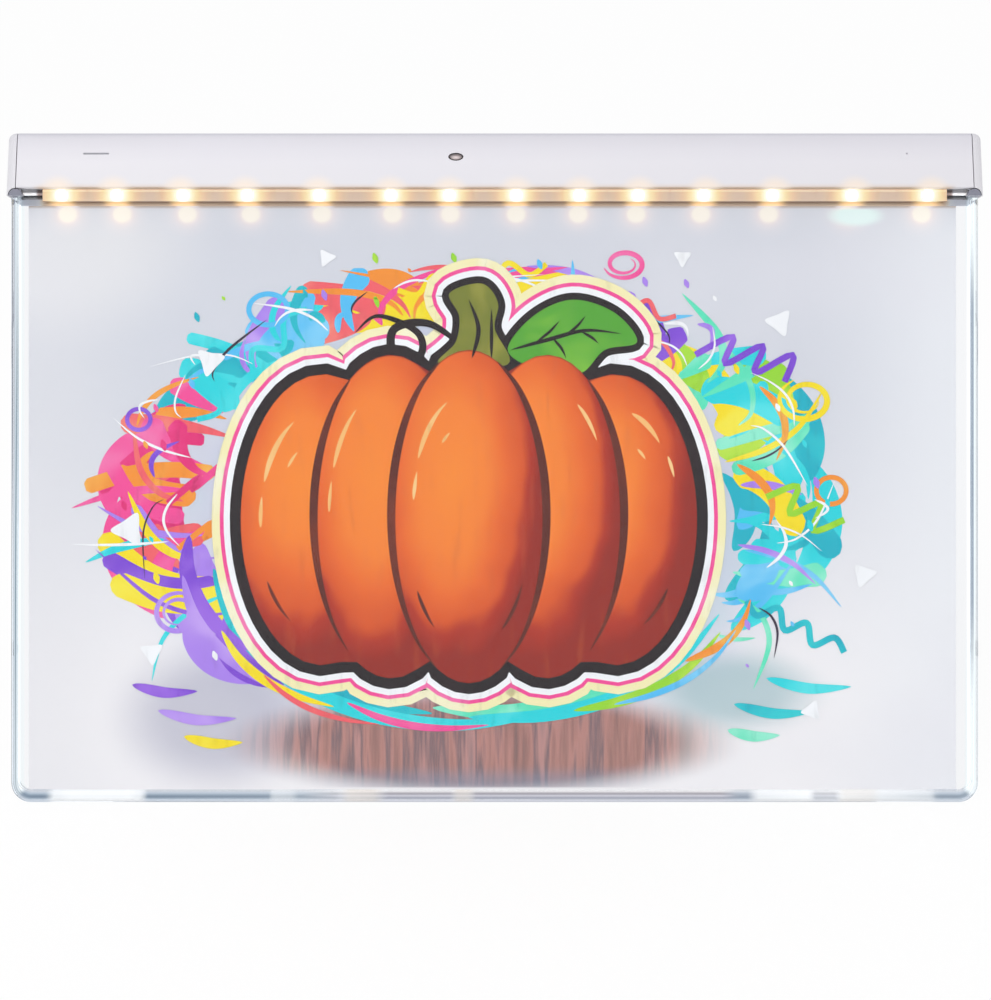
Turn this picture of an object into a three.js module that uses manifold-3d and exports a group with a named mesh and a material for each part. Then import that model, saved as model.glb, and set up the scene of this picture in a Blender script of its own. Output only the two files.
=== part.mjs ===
// Lit drawing board: a clear rimmed board hung from a white lamp housing with a row of LEDs, standing
// on its bottom rim and on a folding wire stand. Millimetres. X runs to the right, Y to the rear, Z up.
// Every piece but the stand is drawn with the board upright, its front face at Y = 0 and its bottom
// edge at Z = 0, and the whole then leans back.

import * as THREE from 'three';
import { mergeVertices } from 'three/addons/utils/BufferGeometryUtils.js';
import Module from 'manifold-3d';

const wasm = await Module();
wasm.setup();

// Fits shared by all pieces
const FIT_GAP = 0.25;
const SCREW_FIT = 0.15;
const CUT_OVERRUN = 2;

// Stance
const LEAN_ANGLE = THREE.MathUtils.degToRad(20);
const STAND_OPEN_ANGLE = THREE.MathUtils.degToRad(34.5);

// Overall width, from end cap to end cap
const OVERALL_WIDTH = 300;

// Clear board
const BOARD_SIDE_STEP = 1;
const BOARD_THICKNESS = 3;
const BOARD_CORNER_RADIUS = 6;
const BOARD_SEATING = 6.4;
const RIM_SIDE_WIDTH = 1.85;
const RIM_BOTTOM_WIDTH = 3.4;
const RIM_FRONT_HEIGHT = 0.8;
const RIM_BACK_HEIGHT = 1.6;
const RIM_ROUNDING = 0.6;
const RIM_TOP_DROP = 2.6;
const TONGUE_STEP = 0.3;
const SHEET_TAB_LENGTH = 9;
const SHEET_TAB_OVERLAP = 2.4;
const SHEET_TAB_SHARES = [-0.94, -0.35, 0.35, 0.94];

// Picture sheet behind the board
const SHEET_THICKNESS = 0.3;
const SHEET_LEFT_MARGIN = 3.1;
const SHEET_RIGHT_MARGIN = 4.6;

// Lamp housing
const BOARD_VISIBLE_HEIGHT = 184.2;
const LAMP_WINDOW_HEIGHT = 4.7;
const HOUSING_FRONT_HEIGHT = 17.4;
const HOUSING_FRONT_REACH = 4.5;
const FRONT_SETBACK = 4.2;
const WALL = 1.8;
const FRONT_TOP_FILLET = 2.4;
const REAR_TOP_FILLET = 4;
const REAR_BOTTOM_FILLET = 2.4;
const REAR_BOTTOM_RISE = 2.4;
const LIP_SILL_HEIGHT = 2;
const SHARP_EDGE_RADIUS = 0.4;
const SHELL_SPLIT = 10;
const SHELL_LAP = 2;
const CLAMP_RIB = 1.2;
const CAP_THICKNESS = 2.8;
const CAP_SIDE_ROUNDING = 2.5;
const CAP_EDGE_ROUNDING = 2.2;
const CAP_PLUG_LENGTH = 7.4;
const CAP_PLUG_HEIGHT = 7.5;
const CAP_PLUG_DEPTH = 6.4;
const CAP_NOTCH_RADIUS = 2.3;

// Marks in the front face
const SLIT_LENGTH = 7.8;
const SLIT_HEIGHT = 0.55;
const SLIT_INSET = 20.7;
const PINHOLE_DIAMETER = 0.6;
const PINHOLE_INSET = 23.2;
const MARK_DROP = 6.65;
const MARK_DEPTH = 0.5;

// Board gasket
const GASKET_THICKNESS = 0.8;

// LED strip
const STRIP_END_INSET = 10;
const STRIP_THICKNESS = 1;
const STRIP_RAISE = 1.3;
const STRIP_HIDDEN_HEIGHT = 0.9;
const LED_WIDTH = 3.5;
const LED_HEIGHT = 2.8;
const LED_DEPTH = 1.2;
const LED_FRAME = 0.35;
const LED_WINDOW_RADIUS = 0.7;
const LED_WINDOW_DEPTH = 0.2;
const LED_STANDOFF = 0.5;
const LED_DROP = 1.4;
const LED_SHARES = [
  -0.958, -0.836, -0.689, -0.547, -0.388, -0.229, -0.1,
  0.048, 0.187, 0.317, 0.462, 0.614, 0.79, 0.957,
];

// Power button, its switch and the control board
const BUTTON_SHARE = -0.0797;
const BUTTON_DROP = 7.6;
const BUTTON_WIDTH = 4;
const BUTTON_HEIGHT = 1.8;
const BUTTON_GAP = 0.35;
const BUTTON_RECESS = 0.7;
const BUTTON_TRAVEL = 0.5;
const BUTTON_FLANGE_RIM = 0.75;
const BUTTON_FLANGE_THICKNESS = 0.6;
const PLUNGER_DIAMETER = 1.6;
const PLUNGER_LENGTH = 1.6;
const SWITCH_SIZE = 4.4;
const SWITCH_DEPTH = 2;
const CONTROL_LENGTH = 38;
const CONTROL_HEIGHT = 7.4;
const CONTROL_THICKNESS = 1.2;
const CONTROL_LOWER_GAP = 0.6;
const CONTROL_POST_INSET = 3.2;
const CONTROL_POST_DIAMETER = 4;
const STRIP_LEAD_INSET = 9;
const LEAD_DIAMETER = 1;
const LEAD_SPACING = 2.4;
const LEAD_CHANNEL_WIDTH = 5;

// Battery compartment
const CELL_COUNT = 3;
const CELL_DIAMETER = 10.5;
const CELL_LENGTH = 44.5;
const CELL_NUB_DIAMETER = 3.8;
const CELL_NUB_LENGTH = 0.9;
const CELL_EDGE_ROUNDING = 0.5;
const CELL_DROP = 10.3;
const CELL_FRONT_CLEARANCE = 0.45;
const CONTACT_THICKNESS = 0.4;
const CONTACT_SIZE = 9;
const CONTACT_TAB_HEIGHT = 2.4;
const SPRING_LENGTH = 4;
const SPRING_WIRE = 0.6;
const SPRING_WIDE_RADIUS = 3.2;
const SPRING_NARROW_RADIUS = 2;
const SPRING_TURNS = 3.5;
const COMPARTMENT_RIB = 1.5;
const SHELF_THICKNESS = 1.2;
const DOOR_RECESS = 1;
const DOOR_LEDGE = 1.1;
const DOOR_SCREW_EAR = 7;
const DOOR_CUP_WALL = 0.8;
const DOOR_HEIGHT_MARGIN = 0.4;
const DOOR_CORNER_RADIUS = 1.5;
const DOOR_GRIP_COUNT = 5;
const DOOR_GRIP_WIDTH = 0.8;
const DOOR_GRIP_PITCH = 2;
const DOOR_GRIP_HEIGHT = 6.4;
const DOOR_GRIP_DEPTH = 0.35;
const DOOR_GRIP_INSET = 4.5;

// Screws
const SCREW_DIAMETER = 2;
const SCREW_HEAD_DIAMETER = 4.2;
const SCREW_HEAD_HEIGHT = 1.2;
const SCREW_LENGTH = 9;
const SCREW_SINK = 0.2;
const SCREW_PAD_THICKNESS = 1.4;
const SCREW_PAD_RIM = 1.1;
const BOSS_DIAMETER = 5;
const HOUSING_SCREW_SHARES = [-0.87, -0.63, 0.63, 0.87];
const CONTROL_SCREW_DIAMETER = 1.6;
const CONTROL_SCREW_HEAD_DIAMETER = 3;
const CONTROL_SCREW_HEAD_HEIGHT = 0.8;
const CONTROL_SCREW_REACH = 2.4;

// Wire stand
const WIRE_DIAMETER = 3;
const ARM_INSET = 14;
const WIRE_SHOULDER_RADIUS = 4;
const WIRE_CORNER_RADIUS = 9;
const WIRE_CLEARANCE = 0.3;
const PIVOT_DROP = 0.65;
const BUSH_DIAMETER = 5;
const BUSH_DOME = 1.7;
const BUSH_LENGTH = 0.4;
const BUSH_NECK_LENGTH = 1;
const BUSH_NECK_WALL = 0.4;
const BUSH_FLOOR = 1.2;
const BUSH_PROUD = 0.1;
const BUSH_TONGUE_LENGTH = 7;
const BUSH_TONGUE_THICKNESS = 1.5;
const BUSH_TONGUE_WIDTH = 3;
const FOOT_DIAMETER = 5.2;
const FOOT_LENGTH = 24;
const FOOT_SHARE = 0.78;

// Facets of the round forms
const ARC_STEPS = 6;
const CORNER_STEPS = 10;
const ROUND_SIDES = 24;
const LED_WINDOW_STEPS = 2;
const WIRE_SIDES = 14;

// Places that several pieces share
const BOARD_WIDTH = OVERALL_WIDTH - 2 * BOARD_SIDE_STEP;
const STRIP_LENGTH = OVERALL_WIDTH - 2 * STRIP_END_INSET;
const FRONT_BOTTOM = BOARD_VISIBLE_HEIGHT + LAMP_WINDOW_HEIGHT;
const HOUSING_TOP = FRONT_BOTTOM + HOUSING_FRONT_HEIGHT;
const REAR_BOTTOM = BOARD_VISIBLE_HEIGHT + REAR_BOTTOM_RISE;
const CAP_INSIDE = OVERALL_WIDTH / 2 - CAP_THICKNESS;
const SHELL_END = CAP_INSIDE - FIT_GAP;
const BOARD_TOP = FRONT_BOTTOM + BOARD_SEATING;
const RIM_TOP = FRONT_BOTTOM - RIM_TOP_DROP;
const RIM_BACK = BOARD_THICKNESS + RIM_BACK_HEIGHT;
const SHEET_FRONT = BOARD_THICKNESS + FIT_GAP;
const SHEET_BACK = SHEET_FRONT + SHEET_THICKNESS;
const LED_FRONT = BOARD_THICKNESS + LED_STANDOFF;
const LED_Z = FRONT_BOTTOM - LED_DROP;
const STRIP_FRONT = LED_FRONT + LED_DEPTH + FIT_GAP;
const STRIP_BACK = STRIP_FRONT + STRIP_THICKNESS;
const STRIP_TOP = FRONT_BOTTOM + STRIP_HIDDEN_HEIGHT;
const LIP_FRONT = STRIP_BACK + FIT_GAP;
const LIP_BACK = LIP_FRONT + WALL;
const REAR_INSIDE = LIP_BACK + CELL_FRONT_CLEARANCE + CELL_DIAMETER + FIT_GAP;
const HOUSING_REAR = REAR_INSIDE + WALL;
const HOUSING_DEPTH = HOUSING_REAR + HOUSING_FRONT_REACH;
const CLAMP_FRONT = BOARD_THICKNESS + GASKET_THICKNESS + 2 * FIT_GAP;
const PIVOT_Y = LIP_BACK + WIRE_DIAMETER / 2 + WIRE_CLEARANCE;
const PIVOT_Z = FRONT_BOTTOM - PIVOT_DROP;
const ARM_X = OVERALL_WIDTH / 2 - ARM_INSET;
const BUTTON_X = BUTTON_SHARE * OVERALL_WIDTH / 2;
const BUTTON_Z = HOUSING_TOP - BUTTON_DROP;
const CONTROL_BOTTOM = BOARD_TOP + CONTROL_LOWER_GAP;
const SCREW_Z = HOUSING_TOP - REAR_TOP_FILLET - FIT_GAP - SCREW_HEAD_DIAMETER / 2;
const SCREW_PAD_DIAMETER = SCREW_HEAD_DIAMETER + 2 * SCREW_FIT + 2 * SCREW_PAD_RIM;

// The front wall leans back towards its top, so its two faces depend on the height.
const FRONT_SLOPE = FRONT_SETBACK / HOUSING_FRONT_HEIGHT;
const frontFaceAt = (z) => (z - FRONT_BOTTOM) * FRONT_SLOPE - HOUSING_FRONT_REACH;
const frontInsideAt = (z) => frontFaceAt(z) + WALL * Math.hypot(1, FRONT_SLOPE);

const BUTTON_FLANGE_HALF = BUTTON_HEIGHT / 2 + BUTTON_FLANGE_RIM;
const BUTTON_FLANGE_FRONT = frontInsideAt(BUTTON_Z + BUTTON_FLANGE_HALF) + FIT_GAP;
const BUTTON_BACK = BUTTON_FLANGE_FRONT + BUTTON_FLANGE_THICKNESS;
const SWITCH_FRONT = BUTTON_BACK + BUTTON_TRAVEL + FIT_GAP;
const SWITCH_BACK = SWITCH_FRONT + SWITCH_DEPTH;
const CONTROL_FRONT = SWITCH_BACK + FIT_GAP;
const CONTROL_BACK = CONTROL_FRONT + CONTROL_THICKNESS;
const CONTROL_MIDDLE_Y = (CONTROL_FRONT + CONTROL_BACK) / 2;
const CONTROL_LEFT = BUTTON_X - CONTROL_LENGTH / 2;
const CONTROL_RIGHT = BUTTON_X + CONTROL_LENGTH / 2;
const BATTERY_LEAD_Z = CONTROL_BOTTOM + CONTROL_HEIGHT / 2;

const CELL_RADIUS = CELL_DIAMETER / 2;
const CELL_Y = REAR_INSIDE - FIT_GAP - CELL_RADIUS;
const CELL_Z = HOUSING_TOP - CELL_DROP;
const CELL_ROW = CELL_COUNT * CELL_LENGTH + (CELL_COUNT - 1) * FIT_GAP;
const COMPARTMENT_LENGTH = CELL_ROW + SPRING_LENGTH + 2 * CONTACT_THICKNESS + 5 * FIT_GAP;
const COMPARTMENT_END = COMPARTMENT_LENGTH / 2;
const CELL_START = FIT_GAP + CONTACT_THICKNESS + FIT_GAP + SPRING_LENGTH + FIT_GAP - COMPARTMENT_END;
const SHELF_TOP = CELL_Z - CELL_RADIUS - FIT_GAP;
const DOOR_BOTTOM = SHELF_TOP - DOOR_HEIGHT_MARGIN;
const DOOR_TOP = CELL_Z + CELL_RADIUS + FIT_GAP + DOOR_HEIGHT_MARGIN;
const DOOR_OPENING_END = COMPARTMENT_END - FIT_GAP;
const DOOR_LEFT = -DOOR_OPENING_END - DOOR_LEDGE;
const DOOR_RIGHT = COMPARTMENT_END + COMPARTMENT_RIB + DOOR_SCREW_EAR;
const DOOR_SCREW_X = COMPARTMENT_END + COMPARTMENT_RIB + DOOR_SCREW_EAR / 2;
const DOOR_SEAT = HOUSING_REAR - DOOR_RECESS;
const SCREW_HEAD_SINK = SCREW_HEAD_HEIGHT + SCREW_SINK + FIT_GAP;
const DOOR_CUP_DIAMETER = SCREW_HEAD_DIAMETER + 2 * SCREW_FIT + 2 * DOOR_CUP_WALL;
const DOOR_CUP_FRONT = HOUSING_REAR - SCREW_HEAD_SINK - DOOR_CUP_WALL;
const DOOR_CUP_HOLE = DOOR_CUP_DIAMETER + 2 * FIT_GAP;

// Materials
const MATERIALS = {
  housing: new THREE.MeshStandardMaterial({ color: 0xe4e2e8, roughness: 0.45, metalness: 0 }),
  clear: new THREE.MeshStandardMaterial({ color: 0xe6eef5, roughness: 0.05, metalness: 0 }),
  sheet: new THREE.MeshStandardMaterial({ color: 0xdfe2e9, roughness: 0.7, metalness: 0 }),
  strip: new THREE.MeshStandardMaterial({ color: 0xdecaaf, roughness: 0.4, metalness: 0 }),
  led: new THREE.MeshStandardMaterial({ color: 0xfff4d2, roughness: 0.3, metalness: 0 }),
  foam: new THREE.MeshStandardMaterial({ color: 0xf2f2f0, roughness: 0.9, metalness: 0 }),
  bush: new THREE.MeshStandardMaterial({ color: 0x8f919f, roughness: 0.3, metalness: 0.2 }),
  steel: new THREE.MeshStandardMaterial({ color: 0xb4b6c2, roughness: 0.2, metalness: 1 }),
  rubber: new THREE.MeshStandardMaterial({ color: 0xc9cbd0, roughness: 0.8, metalness: 0 }),
  button: new THREE.MeshStandardMaterial({ color: 0xe2d6d8, roughness: 0.5, metalness: 0 }),
  circuit: new THREE.MeshStandardMaterial({ color: 0x2f6a48, roughness: 0.5, metalness: 0 }),
  black: new THREE.MeshStandardMaterial({ color: 0x222226, roughness: 0.6, metalness: 0 }),
  red: new THREE.MeshStandardMaterial({ color: 0xb3261e, roughness: 0.6, metalness: 0 }),
  cell: new THREE.MeshStandardMaterial({ color: 0x6f7a86, roughness: 0.35, metalness: 0.4 }),
};

// Directions in which outlines are extruded
const RIGHT = new THREE.Vector3(1, 0, 0);
const REAR = new THREE.Vector3(0, 1, 0);
const UP = new THREE.Vector3(0, 0, 1);
const OUTLINE_YZ = new THREE.Matrix4().makeBasis(REAR, UP, RIGHT);
const OUTLINE_XZ = new THREE.Matrix4().makeBasis(RIGHT, UP, REAR.clone().negate());

// Rounds the corners [a, b, radius] of a run of straight lines, open or closed, into plain points.
function roundCorners(corners, closed, steps = ARC_STEPS) {
  const points = [];
  corners.forEach(([a, b, radius = 0], index) => {
    const corner = new THREE.Vector2(a, b);
    const isEnd = !closed && (index === 0 || index === corners.length - 1);
    if (isEnd || radius === 0) {
      points.push(corner);
      return;
    }
    const before = corners.at(index - 1);
    const after = corners[(index + 1) % corners.length];
    const inward = new THREE.Vector2(before[0] - a, before[1] - b).normalize();
    const outward = new THREE.Vector2(after[0] - a, after[1] - b).normalize();
    const half = Math.acos(THREE.MathUtils.clamp(inward.dot(outward), -1, 1)) / 2;
    const middle = inward.clone().add(outward).normalize();
    const centre = corner.clone().addScaledVector(middle, radius / Math.sin(half));
    const start = corner.clone().addScaledVector(inward, radius / Math.tan(half)).sub(centre);
    const turn = (Math.PI - 2 * half) * Math.sign(outward.cross(inward));
    for (let step = 0; step <= steps; step += 1) {
      const arm = start.clone().rotateAround(new THREE.Vector2(), (turn * step) / steps);
      points.push(arm.add(centre));
    }
  });
  return points;
}

// Extrudes a (Y, Z) outline from one X to another.
function extrudeAcross(corners, fromX, toX, steps) {
  const shape = new THREE.Shape(roundCorners(corners, true, steps));
  const geometry = new THREE.ExtrudeGeometry(shape, { depth: toX - fromX, bevelEnabled: false });
  return geometry.applyMatrix4(OUTLINE_YZ).translate(fromX, 0, 0);
}

// Extrudes an (X, Z) outline from its front Y to its back Y.
function extrudeBack(corners, frontY, backY, steps) {
  const shape = new THREE.Shape(roundCorners(corners, true, steps));
  const geometry = new THREE.ExtrudeGeometry(shape, { depth: backY - frontY, bevelEnabled: false });
  return geometry.applyMatrix4(OUTLINE_XZ).translate(0, backY, 0);
}

function box([fromX, toX], [fromY, toY], [fromZ, toZ]) {
  const geometry = new THREE.BoxGeometry(toX - fromX, toY - fromY, toZ - fromZ);
  return geometry.translate((fromX + toX) / 2, (fromY + toY) / 2, (fromZ + toZ) / 2);
}

function rodAcross(diameter, fromX, toX, y, z) {
  const geometry = new THREE.CylinderGeometry(diameter / 2, diameter / 2, toX - fromX, ROUND_SIDES);
  return geometry.rotateZ(-Math.PI / 2).translate((fromX + toX) / 2, y, z);
}

function rodBack(diameter, x, z, fromY, toY) {
  const geometry = new THREE.CylinderGeometry(diameter / 2, diameter / 2, toY - fromY, ROUND_SIDES);
  return geometry.translate(x, (fromY + toY) / 2, z);
}

// Turns a [radius, along] profile about the X axis, with the profile's second value running along X.
function turnAcross(profile, y, z) {
  const points = profile.map(([radius, along]) => new THREE.Vector2(radius, along));
  return new THREE.LatheGeometry(points, ROUND_SIDES).rotateZ(-Math.PI / 2).translate(0, y, z);
}

// Closed solids for cutting and joining
function solid(geometry) {
  const bare = geometry.clone();
  bare.deleteAttribute('normal');
  bare.deleteAttribute('uv');
  const merged = mergeVertices(bare);
  return new wasm.Manifold(new wasm.Mesh({
    numProp: 3,
    vertProperties: new Float32Array(merged.attributes.position.array),
    triVerts: new Uint32Array(merged.index.array),
  }));
}

const join = (base, pieces) => pieces.reduce((whole, piece) => whole.add(solid(piece)), base);
const cut = (base, pieces) => pieces.reduce((whole, piece) => whole.subtract(solid(piece)), base);

function toGeometry(manifold) {
  const { vertProperties, triVerts } = manifold.getMesh();
  const geometry = new THREE.BufferGeometry();
  geometry.setAttribute('position', new THREE.BufferAttribute(vertProperties, 3));
  geometry.setIndex(new THREE.BufferAttribute(triVerts, 1));
  geometry.computeVertexNormals();
  return geometry;
}

function piece(name, geometry, material) {
  const mesh = new THREE.Mesh(geometry, material.clone());
  mesh.name = name;
  return mesh;
}

// A path whose rings lie at chosen points, close together in the bends and far apart between them.
class StationPath extends THREE.Curve {
  constructor(stations) {
    super();
    this.stations = stations;
  }

  getPointAt(share) {
    return this.stations[Math.round(share * (this.stations.length - 1))].clone();
  }

  getTangentAt(share) {
    const index = Math.round(share * (this.stations.length - 1));
    const before = this.stations[Math.max(index - 1, 0)];
    const after = this.stations[Math.min(index + 1, this.stations.length - 1)];
    return after.clone().sub(before).normalize();
  }
}

function sweepRound(stations, diameter, sides) {
  const ring = Array.from({ length: sides }, (unused, index) => {
    const angle = (2 * Math.PI * index) / sides;
    return new THREE.Vector2(Math.cos(angle), Math.sin(angle)).multiplyScalar(diameter / 2);
  });
  return new THREE.ExtrudeGeometry(new THREE.Shape(ring), {
    steps: stations.length - 1,
    extrudePath: new StationPath(stations),
  });
}

// Clear board: a thin web in a raised rim, with a tongue that goes up into the housing
function clearBoard() {
  const half = BOARD_WIDTH / 2;
  const outline = [
    [-half, 0, BOARD_CORNER_RADIUS], [half, 0, BOARD_CORNER_RADIUS], [half, RIM_TOP], [-half, RIM_TOP],
  ];
  const inside = half - RIM_SIDE_WIDTH;
  const insideRadius = BOARD_CORNER_RADIUS - RIM_SIDE_WIDTH;
  const pocket = [
    [-inside, RIM_BOTTOM_WIDTH, insideRadius], [inside, RIM_BOTTOM_WIDTH, insideRadius],
    [inside, RIM_TOP + CUT_OVERRUN], [-inside, RIM_TOP + CUT_OVERRUN],
  ];
  const shape = new THREE.Shape(roundCorners(outline, true, CORNER_STEPS));
  const rimmed = new THREE.ExtrudeGeometry(shape, {
    depth: RIM_FRONT_HEIGHT + RIM_BACK - 2 * RIM_ROUNDING,
    bevelSize: RIM_ROUNDING,
    bevelThickness: RIM_ROUNDING,
    bevelOffset: -RIM_ROUNDING,
    bevelSegments: 3,
  }).applyMatrix4(OUTLINE_XZ).translate(0, RIM_BACK - RIM_ROUNDING, 0);
  const pocketed = cut(solid(rimmed), [
    extrudeBack(pocket, -RIM_FRONT_HEIGHT - CUT_OVERRUN, 0, CORNER_STEPS),
    extrudeBack(pocket, BOARD_THICKNESS, RIM_BACK + CUT_OVERRUN, CORNER_STEPS),
  ]);
  const stepZ = FRONT_BOTTOM - FIT_GAP;
  const web = box([-SHELL_END, SHELL_END], [0, BOARD_THICKNESS], [RIM_TOP - CUT_OVERRUN, stepZ]);
  const tongue = box([-SHELL_END, SHELL_END], [TONGUE_STEP, BOARD_THICKNESS],
    [RIM_TOP - CUT_OVERRUN, BOARD_TOP]);
  const tabs = SHEET_TAB_SHARES.map((share) => {
    const middle = share * inside;
    const reach = [middle - SHEET_TAB_LENGTH / 2, middle + SHEET_TAB_LENGTH / 2];
    const tabZ = [RIM_BOTTOM_WIDTH - RIM_ROUNDING, RIM_BOTTOM_WIDTH + SHEET_TAB_OVERLAP];
    return box(reach, [SHEET_BACK + FIT_GAP, RIM_BACK], tabZ);
  });
  return piece('clear_board', toGeometry(join(pocketed, [web, tongue, ...tabs])), MATERIALS.clear);
}

function pictureSheet() {
  const half = BOARD_WIDTH / 2 - RIM_SIDE_WIDTH;
  const left = SHEET_LEFT_MARGIN - half;
  const right = half - SHEET_RIGHT_MARGIN;
  const bottom = RIM_BOTTOM_WIDTH + FIT_GAP;
  const sheet = box([left, right], [SHEET_FRONT, SHEET_BACK], [bottom, BOARD_VISIBLE_HEIGHT - FIT_GAP]);
  return piece('picture_sheet', sheet, MATERIALS.sheet);
}

// Screws, their heads to the rear
function rearScrew(name, x, z, headBack) {
  const radius = SCREW_DIAMETER / 2;
  const profile = [
    [0, 0], [SCREW_HEAD_DIAMETER / 2, 0], [SCREW_HEAD_DIAMETER / 2, SCREW_HEAD_HEIGHT],
    [radius, SCREW_HEAD_HEIGHT], [radius, SCREW_LENGTH - radius], [0, SCREW_LENGTH],
  ].map(([across, along]) => new THREE.Vector2(across, -along)).reverse();
  const geometry = new THREE.LatheGeometry(profile, ROUND_SIDES).translate(x, headBack, z);
  return piece(name, geometry, MATERIALS.steel);
}

function screwSeatCuts(x, z, surfaceY) {
  const headHole = SCREW_HEAD_DIAMETER + 2 * SCREW_FIT;
  const shankHole = SCREW_DIAMETER + 2 * SCREW_FIT;
  return [
    rodBack(headHole, x, z, surfaceY - SCREW_HEAD_SINK, surfaceY + CUT_OVERRUN),
    rodBack(shankHole, x, z, surfaceY - SCREW_LENGTH - CUT_OVERRUN, surfaceY),
  ];
}

const housingScrewX = HOUSING_SCREW_SHARES.map((share) => share * SHELL_END);
const capScrewX = SHELL_END - SCREW_PAD_DIAMETER / 2;
const capPlugZ = [SCREW_Z - CAP_PLUG_HEIGHT / 2, HOUSING_TOP - WALL - FIT_GAP];
const padBack = REAR_INSIDE - SCREW_PAD_THICKNESS;
const capPlugY = [padBack - FIT_GAP - CAP_PLUG_DEPTH, padBack - FIT_GAP];

// Front shell: a leaning front wall and the front part of the top, with two ribs that hold the board
function frontShell() {
  const ribBottom = BOARD_TOP - CLAMP_RIB;
  const flangeTop = FRONT_BOTTOM + WALL;
  const ceiling = HOUSING_TOP - WALL;
  const lapZ = HOUSING_TOP - WALL / 2;
  const section = [
    [frontFaceAt(FRONT_BOTTOM), FRONT_BOTTOM, SHARP_EDGE_RADIUS],
    [-FIT_GAP, FRONT_BOTTOM], [-FIT_GAP, flangeTop], [frontInsideAt(flangeTop), flangeTop],
    [frontInsideAt(ribBottom), ribBottom], [-FIT_GAP, ribBottom],
    [-FIT_GAP, BOARD_TOP], [frontInsideAt(BOARD_TOP), BOARD_TOP],
    [frontInsideAt(ceiling), ceiling, SHARP_EDGE_RADIUS],
    [SHELL_SPLIT - SHELL_LAP, ceiling], [SHELL_SPLIT - SHELL_LAP, lapZ], [SHELL_SPLIT, lapZ],
    [SHELL_SPLIT, HOUSING_TOP], [frontFaceAt(HOUSING_TOP), HOUSING_TOP, FRONT_TOP_FILLET],
  ];
  const bosses = housingScrewX.map((x) => (
    rodBack(BOSS_DIAMETER, x, SCREW_Z, frontInsideAt(SCREW_Z) - WALL / 2, padBack - FIT_GAP)
  ));
  const posts = controlScrewX.map((x) => (
    rodBack(CONTROL_POST_DIAMETER, x, BATTERY_LEAD_Z, frontInsideAt(BATTERY_LEAD_Z) - WALL / 2,
      CONTROL_FRONT - FIT_GAP)
  ));
  const shell = join(solid(extrudeAcross(section, -SHELL_END, SHELL_END)), [...bosses, ...posts]);

  const bossHoles = housingScrewX.map((x) => screwSeatCuts(x, SCREW_Z, HOUSING_REAR)[1]);
  const postHoles = controlScrewX.map((x) => (
    rodBack(CONTROL_SCREW_DIAMETER + 2 * SCREW_FIT, x, BATTERY_LEAD_Z,
      CONTROL_FRONT - CONTROL_SCREW_REACH - SCREW_FIT, CONTROL_FRONT)
  ));
  const buttonHole = ovalBack(BUTTON_WIDTH + 2 * BUTTON_GAP, BUTTON_HEIGHT + 2 * BUTTON_GAP,
    frontFaceAt(FRONT_BOTTOM), BUTTON_FLANGE_FRONT);
  const markZ = HOUSING_TOP - MARK_DROP;
  const markBack = frontFaceAt(markZ) + MARK_DEPTH;
  const slitStart = SLIT_INSET - CAP_INSIDE;
  const slit = box([slitStart, slitStart + SLIT_LENGTH], [frontFaceAt(FRONT_BOTTOM), markBack],
    [markZ - SLIT_HEIGHT / 2, markZ + SLIT_HEIGHT / 2]);
  const pinhole = rodBack(PINHOLE_DIAMETER, OVERALL_WIDTH / 2 - PINHOLE_INSET, markZ,
    frontFaceAt(FRONT_BOTTOM), markBack);
  const cuts = [...bossHoles, ...postHoles, buttonHole, slit, pinhole];
  return piece('front_shell', toGeometry(cut(shell, cuts)), MATERIALS.housing);
}

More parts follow.
